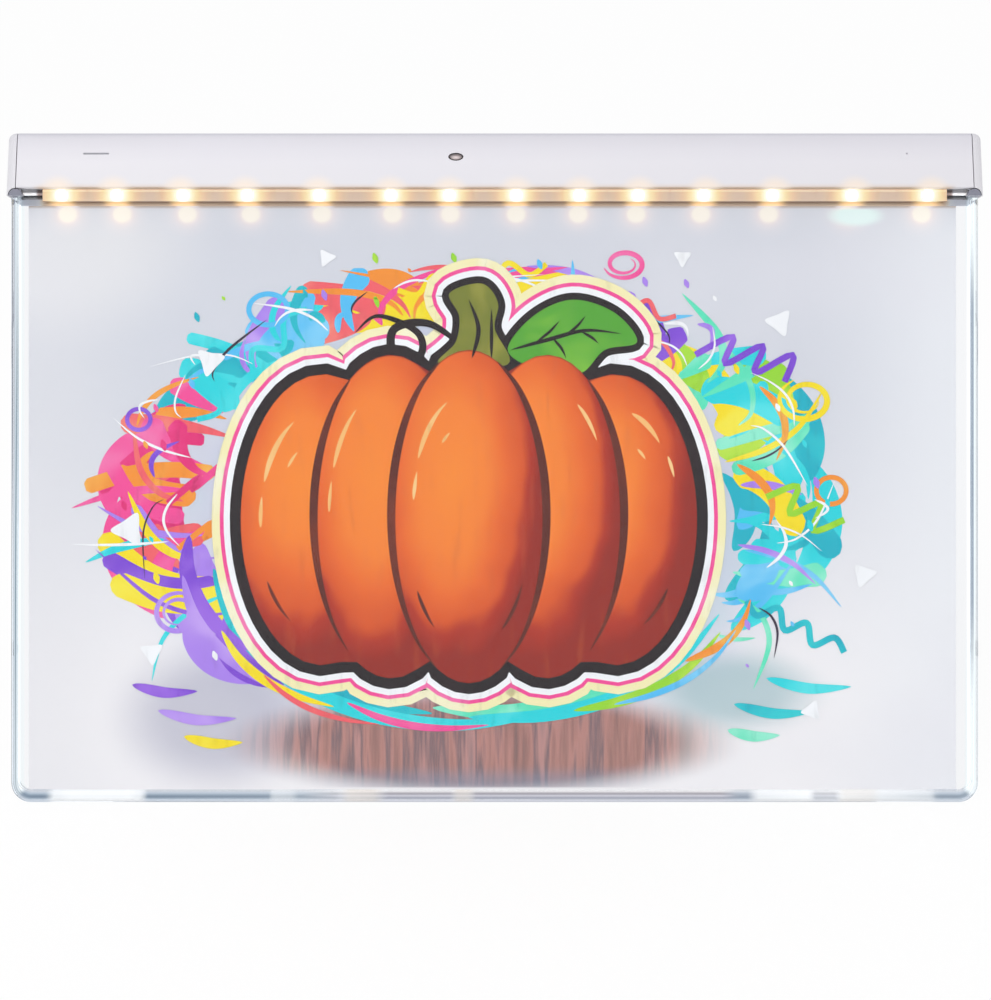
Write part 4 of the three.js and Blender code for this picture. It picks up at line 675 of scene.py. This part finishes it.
def around(angle, reach):
    """A place round the gourd; reach 1 is just outside its outline."""
    if reach > 1:
        reach = 1 + (reach - 1) * (1 - 0.42 * sin(angle) ** 2)
    wide, tall = GOURD_REACH
    return GOURD[0] + wide * reach * cos(angle), GOURD[1] + 1 + tall * reach * sin(angle)


def gourd_outline():
    steps = 96
    outline = []
    for step in range(steps):
        angle = 2 * pi * step / steps
        best = 0
        for x, z, wide, tall in LOBES:
            # where a line from the middle leaves this lobe
            a = (cos(angle) / wide) ** 2 + (sin(angle) / tall) ** 2
            b = -2 * (x * cos(angle) / wide ** 2 + z * sin(angle) / tall ** 2)
            c = (x / wide) ** 2 + (z / tall) ** 2 - 1
            inside = b * b - 4 * a * c
            if inside > 0:
                best = max(best, (-b + inside ** 0.5) / (2 * a))
        outline.append((GOURD[0] + best * cos(angle), GOURD[1] + best * sin(angle)))
    return outline


STEM = [(-17, 135), (-12, 142), (-11, 150), (-14, 157), (-4, 160), (1, 154), (0, 146), (4, 135)]
LEAF = [(4, 140), (12, 150), (24, 155), (37, 151), (44, 142), (34, 139.5), (27, 132.5), (17, 132.5),
        (10, 134.5)]
TENDRIL = [(-8, 139), (-20, 147.5), (-31, 146), (-31, 138), (-23, 138), (-24, 145), (-36, 150), (-43, 145)]

paint = random.Random(11)


def jitter(amount):
    return paint.uniform(-amount, amount)


def sweep(ink, angle, reach, span, width, lift=0.0):
    """A stroke that runs round the gourd."""
    knots = [around(angle + span * t, reach + lift * t + 0.05 * sin(pi * t))
             for t in (0, 0.25, 0.5, 0.75, 1)]
    draw_stroke(ink, knots, width, "brush")


def petal(ink, angle, near, far, width, turn=0.0, shape="drop"):
    """A stroke that runs outwards, bent by turn."""
    knots = [around(angle + turn * t * t, near + (far - near) * t) for t in (0, 0.33, 0.66, 1)]
    draw_stroke(ink, knots, width, shape)


def zigzag(ink, place, step, count, slant, width):
    knots = []
    for index in range(count):
        aside = slant if index % 2 else 0
        knots.append((place[0] + step[0] * index + aside, place[1] + step[1] * index + abs(aside)))
    draw_stroke(ink, knots, width, per_span=5)


def wave(ink, start, end, count, depth, width):
    dx, dz = end[0] - start[0], end[1] - start[1]
    length = hypot(dx, dz)
    knots = [(start[0] + dx * t / count - dz / length * depth * (-1) ** t * (0 < t < count),
              start[1] + dz * t / count + dx / length * depth * (-1) ** t * (0 < t < count))
             for t in range(count + 1)]
    draw_stroke(ink, knots, width)


def dot(ink, place, radius):
    x, z = place
    draw_stroke(ink, [(x - radius * 0.5, z - 0.3), (x + radius * 0.5, z + 0.3)], 2 * radius, per_span=12)


def fill_shape(name, finish, knots, per_span=7):
    ink_fills.append((name, finish, smooth_path(knots, True, per_span), ink_height()))


# inks by direction from the gourd, degrees from the right, against the clock
ZONES = (
    (-32, 8, ("aqua", "teal", "sky", "mint", "lavender")),
    (8, 42, ("lime", "yellow", "mint", "aqua", "orange")),
    (42, 78, ("violet", "lavender", "pink", "sky", "coral")),
    (78, 112, ("orange", "yellow", "coral", "pink", "lime")),
    (112, 150, ("aqua", "sky", "teal", "lavender", "lime")),
    (150, 186, ("magenta", "pink", "coral", "orange", "violet")),
    (186, 214, ("lavender", "violet", "yellow", "lime", "aqua")),
)


def fan(count, start, span, spread):
    """Number, direction and inks of strokes round the gourd, from the start over the span in degrees."""
    for number in range(count):
        degrees = start + span * number / count + jitter(spread)
        inks = [zone[2] for zone in ZONES if zone[0] <= degrees <= zone[1]] or [ZONES[0][2]]
        yield number, radians(degrees), inks[0]


# long soft sweeps under the rest
for number, angle, inks in fan(44, -30, 244, 4):
    sweep(inks[number % 3], angle, paint.uniform(1.05, 1.34), radians(paint.uniform(14, 30)),
          paint.uniform(6.5, 12), paint.uniform(-0.08, 0.1))
# bent petals and drops
for _, angle, inks in fan(62, -26, 236, 3):
    kind = "drop" if paint.random() < 0.6 else "marker"
    petal(inks[paint.randrange(4)], angle, paint.uniform(1.0, 1.12), paint.uniform(1.24, 1.52),
          paint.uniform(3.6, 8.6), jitter(0.28), kind)
# narrow strokes over them
for _, angle, inks in fan(48, -34, 250, 4):
    if paint.random() < 0.5:
        sweep(inks[paint.randrange(5)], angle, paint.uniform(1.05, 1.42), radians(jitter(20)),
              paint.uniform(1.4, 3), jitter(0.12))
    else:
        petal(inks[paint.randrange(5)], angle, paint.uniform(1.02, 1.2), paint.uniform(1.3, 1.62),
              paint.uniform(1.3, 2.8), jitter(0.4), "brush")
# scribbles, loops and waves
zigzag("orange", (-98, 78), (4.2, 1.6), 7, 7, 1.8)
zigzag("magenta", (-101, 92), (3.8, 2.2), 6, 6, 2.2)
zigzag("violet", (62, 138), (4.6, -1.4), 7, 7, 2.0)
zigzag("lime", (84, 94), (3.6, -2.6), 6, 6, 2.0)
wave("aqua", (-92, 118), (-58, 152), 7, 3.0, 1.8)
wave("yellow", (-30, 158), (16, 166), 8, 2.4, 1.7)
wave("coral", (28, 158), (56, 150), 6, 2.2, 1.5)
wave("teal", (78, 62), (108, 46), 7, 2.6, 2.0)
draw_stroke("lavender", ring_at((-98, 58), 7.5, 1.8, 0.4, 0.9, 4.0), 1.6, "brush")
draw_stroke("yellow", ring_at((96, 124), 8.5, 1.7, 2.0, 0.8, 4.5), 1.9, "brush")
draw_stroke("pink", ring_at((40, 166), 6.5, 1.6, 3.4, 0.7, 3.4), 1.6, "brush")
draw_stroke("sky", ring_at((-70, 152), 6.0, 1.0, 0.0, 0.8), 1.6, closed=True)
draw_stroke("orange", ring_at((104, 96), 4.6, 1.0, 0.0, 0.9), 1.5, closed=True)
draw_stroke("violet", ring_at((-110, 118), 3.6, 1.0, 0.0, 0.9), 1.3, closed=True)
# swirl under the gourd
for ink, reach, start, span, width in (
        ("teal", 1.04, 196, 66, 6.5), ("aqua", 1.1, 212, 74, 5.0), ("violet", 1.1, 186, 34, 5.5),
        ("lavender", 1.17, 196, 40, 4.0), ("mint", 1.02, 262, 64, 5.5), ("aqua", 1.09, 270, 62, 4.4),
        ("yellow", 1.16, 212, 30, 3.0), ("lime", 1.15, 292, 36, 3.4), ("pink", 1.13, 244, 30, 2.4),
        ("orange", 1.17, 318, 20, 2.6), ("sky", 1.2, 300, 30, 2.0), ("coral", 1.2, 226, 26, 1.8)):
    sweep(ink, radians(start), reach, radians(span), width, 0.03)
for x, z, length, ink in (
        (-112, 36, 20, "violet"), (-104, 28, 24, "lavender"), (-96, 20, 18, "yellow"), (74, 30, 24, "teal"),
        (84, 38, 26, "aqua"), (72, 22, 16, "mint")):
    knots = [(x, z), (x + length * 0.5, z - length * 0.12), (x + length, z - length * 0.1)]
    draw_stroke(ink, knots, 3.4, "brush")
# thin chalk and pencil lines
for number, angle, _ in fan(20, -20, 220, 5):
    ink = "chalk" if number % 3 else "pencil"
    near = paint.uniform(1.12, 1.25)
    far = near + paint.uniform(0.12, 0.4 if ink == "chalk" else 0.22)
    petal(ink, angle, near, far, paint.uniform(0.5, 0.9), jitter(0.4), "brush")
for _, angle, _ in fan(12, -10, 200, 6):
    sweep("chalk", angle, paint.uniform(1.12, 1.4), radians(jitter(14)), paint.uniform(0.6, 1.2))
# dots and short dashes further out
for _, angle, inks in fan(34, -36, 256, 4):
    ink = (*inks, "chalk")[paint.randrange(len(inks) + 1)]
    reach = paint.uniform(1.36, 1.68) if abs(cos(angle)) < 0.8 else paint.uniform(1.2, 1.42)
    dot(ink, around(angle, reach), paint.uniform(0.7, 2.0))
# little chalk triangles
for x, z, size, turn in (
        (-88, 136, 4.2, 0.3), (-113, 84, 5.0, 1.1), (-106, 46, 3.4, 0.6), (88, 148, 4.0, 0.9),
        (114, 70, 3.6, 0.2), (58, 168, 2.6, 0.5), (98, 28, 3.0, 1.2), (-52, 168, 2.6, 0.1)):
    corners = []
    for corner in range(6):
        reach = size * (0.62 if corner % 2 else 1.15)
        corners.append((x + reach * cos(turn + pi * corner / 3), z + reach * sin(turn + pi * corner / 3)))
    fill_shape("chalk_mark", "chalk", corners, 5)

# bands round the gourd, its stem and its leaf, each narrower and nearer than the last
for ink, width in (("cream", 18.0), ("pink", 13.0), ("chalk", 10.6), ("outline", 6.8)):
    grow = width / 2 - 3.4
    draw_stroke(ink, gourd_outline(), width, closed=True, per_span=1)
    draw_stroke(ink, STEM, 4.4 + 2 * grow, closed=True)
    draw_stroke(ink, LEAF, 4.4 + 2 * grow, closed=True)
draw_stroke("outline", TENDRIL, 2.6, "brush", per_span=9)


def lobe_arc(lobe, start, end, inset=1.0, steps=8):
    """Part of a lobe's edge, from one angle to another in degrees, or of a smaller oval inside it."""
    x, z, wide, tall = LOBES[lobe]
    turns = [radians(start + (end - start) * step / steps) for step in range(steps + 1)]
    return [(GOURD[0] + x + wide * inset * cos(turn), GOURD[1] + z + tall * inset * sin(turn))
            for turn in turns]


fill_shape("gourd_stem", "stem", STEM)
fill_shape("gourd_leaf", "leaf", LEAF)
fill_shape("gourd_body", "skin", gourd_outline(), 1)
for lobe, start, end in ((1, 122, 236), (2, 58, -56), (0, 112, 246), (0, 68, -66)):
    draw_stroke("crease", lobe_arc(lobe, start, end), 2.6, "brush")
for lobe, start, end, inset, width in (
        (0, 152, 112, 0.74, 1.5), (0, 172, 158, 0.72, 1.1), (0, 128, 116, 0.56, 0.9),
        (1, 158, 124, 0.8, 1.4), (1, 178, 164, 0.8, 1.0), (3, 160, 118, 0.76, 1.7),
        (3, 184, 168, 0.76, 1.2), (3, 140, 124, 0.56, 0.9), (2, 60, 36, 0.8, 1.2),
        (4, 74, 44, 0.76, 1.6), (4, 34, 22, 0.78, 1.0), (4, 60, 48, 0.56, 0.9)):
    draw_stroke("highlight", lobe_arc(lobe, start, end, inset, 5), width, "brush")
for lobe, start, end in ((0, -58, -30), (0, 214, 236), (3, 212, 240), (4, -36, -64)):
    draw_stroke("crease", lobe_arc(lobe, start, end, 0.8, 5), 1.1, "brush")
draw_stroke("outline", [(-7, 137), (-5, 146), (-8, 155)], 1.4, "brush")
draw_stroke("outline", [(-1, 137), (-1, 145), (-1, 152)], 1.1, "brush")
draw_stroke("outline", [(5, 139.5), (16, 142.5), (28, 145.5), (39, 144.5)], 1.3, "brush")
for start, end in (((13, 142), (20, 148.5)), ((22, 144), (28, 150)), ((18, 143), (22, 137)),
                   ((27, 145), (32, 141.5))):
    middle = ((start[0] + end[0]) / 2 + 0.6, (start[1] + end[1]) / 2)
    draw_stroke("outline", [start, middle, end], 0.9, "brush")


def select_only(piece):
    bpy.ops.object.select_all(action="DESELECT")
    piece.select_set(True)
    bpy.context.view_layer.objects.active = piece


def place_ink(piece):
    """Turns a flat drawing in mm to lie on the sheet, as a mesh whose faces all look at the viewer."""
    piece.location = on_board(0, SHEET_FRONT, 0)
    piece.rotation_euler = (radians(90) - LEAN, 0, 0)
    piece.scale = (0.001, 0.001, 0.001)
    select_only(piece)
    bpy.ops.object.convert(target="MESH")
    bpy.ops.object.transform_apply(location=True, rotation=True, scale=True)
    for face in piece.data.polygons:
        face.select = face.normal.dot(TOWARD_VIEWER) < 0
    bpy.ops.object.mode_set(mode="EDIT")
    bpy.ops.mesh.flip_normals()
    bpy.ops.object.mode_set(mode="OBJECT")
    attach(piece, "lamp_board")


def start_drawing(name, finish, dimensions):
    bpy.ops.curve.primitive_nurbs_path_add()
    piece = bpy.context.object
    piece.name = name
    piece.data.splines.clear()
    piece.data.materials.append(finish)
    piece.data.dimensions = dimensions
    return piece


def add_spline(piece, places, closed=True):
    spline = piece.data.splines.new("POLY")
    spline.points.add(len(places) - 1)
    for point, place in zip(spline.points, places):
        point.co = (*place, 1)
    spline.use_cyclic_u = closed
    return spline.points


def lay_ribbons(name, finish, strokes):
    piece = start_drawing(name, finish, "3D")
    piece.data.twist_mode = "Z_UP"
    piece.data.extrude = 1
    for path, widths, height, closed in strokes:
        points = add_spline(piece, [(*place, height) for place in path], closed)
        for point, width in zip(points, widths):
            point.radius = width / 2
            point.tilt = pi / 2
    place_ink(piece)


def lay_fill(name, finish, path, height):
    piece = start_drawing(name, finish, "2D")
    piece.data.fill_mode = "BOTH"
    add_spline(piece, [(*place, 0) for place in path])
    select_only(piece)
    bpy.ops.object.convert(target="MESH")
    for vertex in piece.data.vertices:
        vertex.co.z = height
    place_ink(piece)


def marker_ink(name, first, second):
    """Marker ink: two near shades that drift along the strokes, and denser where it pooled."""
    material, tree, shader = new_finish(name, 0.4, Specular_IOR_Level=0.12)
    place = board_place(tree)
    drift = noise(tree, place, (0.05, 0.05, 0.05), distortion=0.8)
    colour = blend(tree, fade(tree, drift, 0.42, 0.72), first, second)
    fibre = noise(tree, place, (0.5, 0.5, 0.12), 3)
    pooled = tuple(level * 0.86 for level in first)
    colour = blend(tree, fade(tree, fibre, 0.56, 0.72, 0, 0.35), colour, pooled)
    connect(tree, shader, Base_Color=colour)
    add_bump(tree, shader, fibre, 0.000006, 0.2)
    return material


def gourd_skin():
    """Gourd skin in marker shades: five lobes, each light at its upper left and deep towards its edges."""
    material, tree, shader = new_finish("gourd_skin", 0.42, Specular_IOR_Level=0.12)
    place = board_place(tree)
    colour = None
    wobble = noise(tree, place, (0.06, 0.06, 0.04))
    for x, z, wide, tall in (LOBES[3], LOBES[4], LOBES[1], LOBES[2], LOBES[0]):
        centre = (GOURD[0] + x, GOURD[1] + z)
        lightest = (centre[0] - wide * 0.22, centre[1] + tall * 0.24)
        lit = oval_distance(tree, place, lightest, (wide * 1.1, tall * 1.1))
        lit = add(tree, lit, multiply(tree, subtract(tree, wobble, 0.5), 0.3))
        shades = ramp(tree, lit, (
            (0.0, 255, 140, 44), (0.42, 252, 132, 44), (0.62, 240, 106, 34), (0.8, 222, 86, 26),
            (0.88, 180, 44, 18), (1.0, 152, 32, 14)))
        if colour is None:
            colour = shades
        else:
            inside = fade(tree, oval_distance(tree, place, centre, (wide, tall)), 1.0, 0.985)
            colour = blend(tree, inside, colour, shades)
    fibre = noise(tree, place, (0.4, 0.4, 0.05), 3)
    colour = blend(tree, fade(tree, fibre, 0.55, 0.75, 0, 0.25), colour, (206, 96, 48))
    connect(tree, shader, Base_Color=colour)
    add_bump(tree, shader, fibre, 0.000006, 0.2)
    return material


for ink, strokes in ink_strokes.items():
    lay_ribbons(f"ink_{ink}", marker_ink(f"ink_{ink}", *INKS[ink]), strokes)
fill_finishes = {
    "stem": marker_ink("gourd_stem", (122, 128, 40), (162, 158, 62)),
    "leaf": marker_ink("gourd_leaf", (82, 166, 44), (142, 206, 64)),
    "skin": gourd_skin(),
    "chalk": marker_ink("chalk_mark", *INKS["chalk"]),
}
for name, finish, path, height in ink_fills:
    lay_fill(name, fill_finishes[finish], path, height)


# Stage, light and camera
FLOOR_WHITE = 0.88
STUDIO_LEVEL = 0.88
material, tree, shader = new_finish("floor_white", 0.9, Base_Color=(0.96, 0.96, 0.96, 1))
plain = add_node(tree, "ShaderNodeEmission")
plain.inputs["Color"].default_value = (1, 1, 1, 1)
rays = add_node(tree, "ShaderNodeLightPath").outputs
seen = maximum(tree, rays["Is Camera Ray"], rays["Is Glossy Ray"], rays["Is Transmission Ray"])
# white to the camera, with the object's soft shadow kept
mix_surface(tree, multiply(tree, seen, FLOOR_WHITE), shader.outputs[0], plain.outputs[0])
bpy.ops.mesh.primitive_plane_add(size=8, location=(0, 0, 0))
floor = bpy.context.object
floor.name = "floor"
floor.data.materials.append(material)

world = bpy.data.worlds.new("studio")
bpy.context.scene.world = world
world.use_nodes = True
tree = world.node_tree
backdrop = tree.nodes["Background"]
backdrop.inputs["Color"].default_value = (0.99, 0.99, 1.0, 1)
white = add_node(tree, "ShaderNodeBackground")
white.inputs["Color"].default_value = (1, 1, 1, 1)
rays = add_node(tree, "ShaderNodeLightPath").outputs
# a dark card behind the viewer, seen in reflections only, keeps the clear board free of a veil
behind = add_node(tree, "ShaderNodeVectorMath", operation="DOT_PRODUCT")
join(tree, add_node(tree, "ShaderNodeTexCoord").outputs["Generated"], behind.inputs[0])
behind.inputs[1].default_value = TOWARD_VIEWER
card = multiply(tree, fade(tree, behind.outputs["Value"], 0.95, 0.975, 0, 0.8), rays["Is Glossy Ray"])
join(tree, subtract(tree, STUDIO_LEVEL, card), backdrop.inputs["Strength"])
seen = maximum(tree, rays["Is Camera Ray"], rays["Is Transmission Ray"])
mix_surface(tree, seen, backdrop.outputs[0], white.outputs[0], "World Output")

lamp = bpy.data.lights.new("key_softbox", "AREA")
lamp.shape = "SQUARE"
lamp.size = 0.9
lamp.energy = 6
light = bpy.data.objects.new("key_softbox", lamp)
bpy.context.scene.collection.objects.link(light)
light.location = (-0.5, -1.0, 1.3)
light.rotation_euler = (Vector((0, 0, 0.1)) - light.location).to_track_quat("-Z", "Y").to_euler()

CAMERA_DISTANCE = 0.9
SENSOR = 36
# The photograph's pixel in mm, its longer side in pixels, and its middle from that of the board's foot
PIXEL = 0.3083
PHOTO_SIDE = 1000
MIDDLE_X = 0.75
MIDDLE_Z = 302
aim = on_board(MIDDLE_X * PIXEL, 0, MIDDLE_Z * PIXEL)
camera_data = bpy.data.cameras.new("camera")
camera_data.sensor_width = SENSOR
camera_data.lens = SENSOR * CAMERA_DISTANCE * 1000 / (PHOTO_SIDE * PIXEL)
camera_data.clip_start = 0.01
camera = bpy.data.objects.new("camera", camera_data)
bpy.context.scene.collection.objects.link(camera)
camera.location = aim + TOWARD_VIEWER * CAMERA_DISTANCE
camera.rotation_euler = (radians(90) - LEAN, 0, 0)
bpy.context.scene.camera = camera
bpy.context.scene.view_settings.view_transform = "Standard"
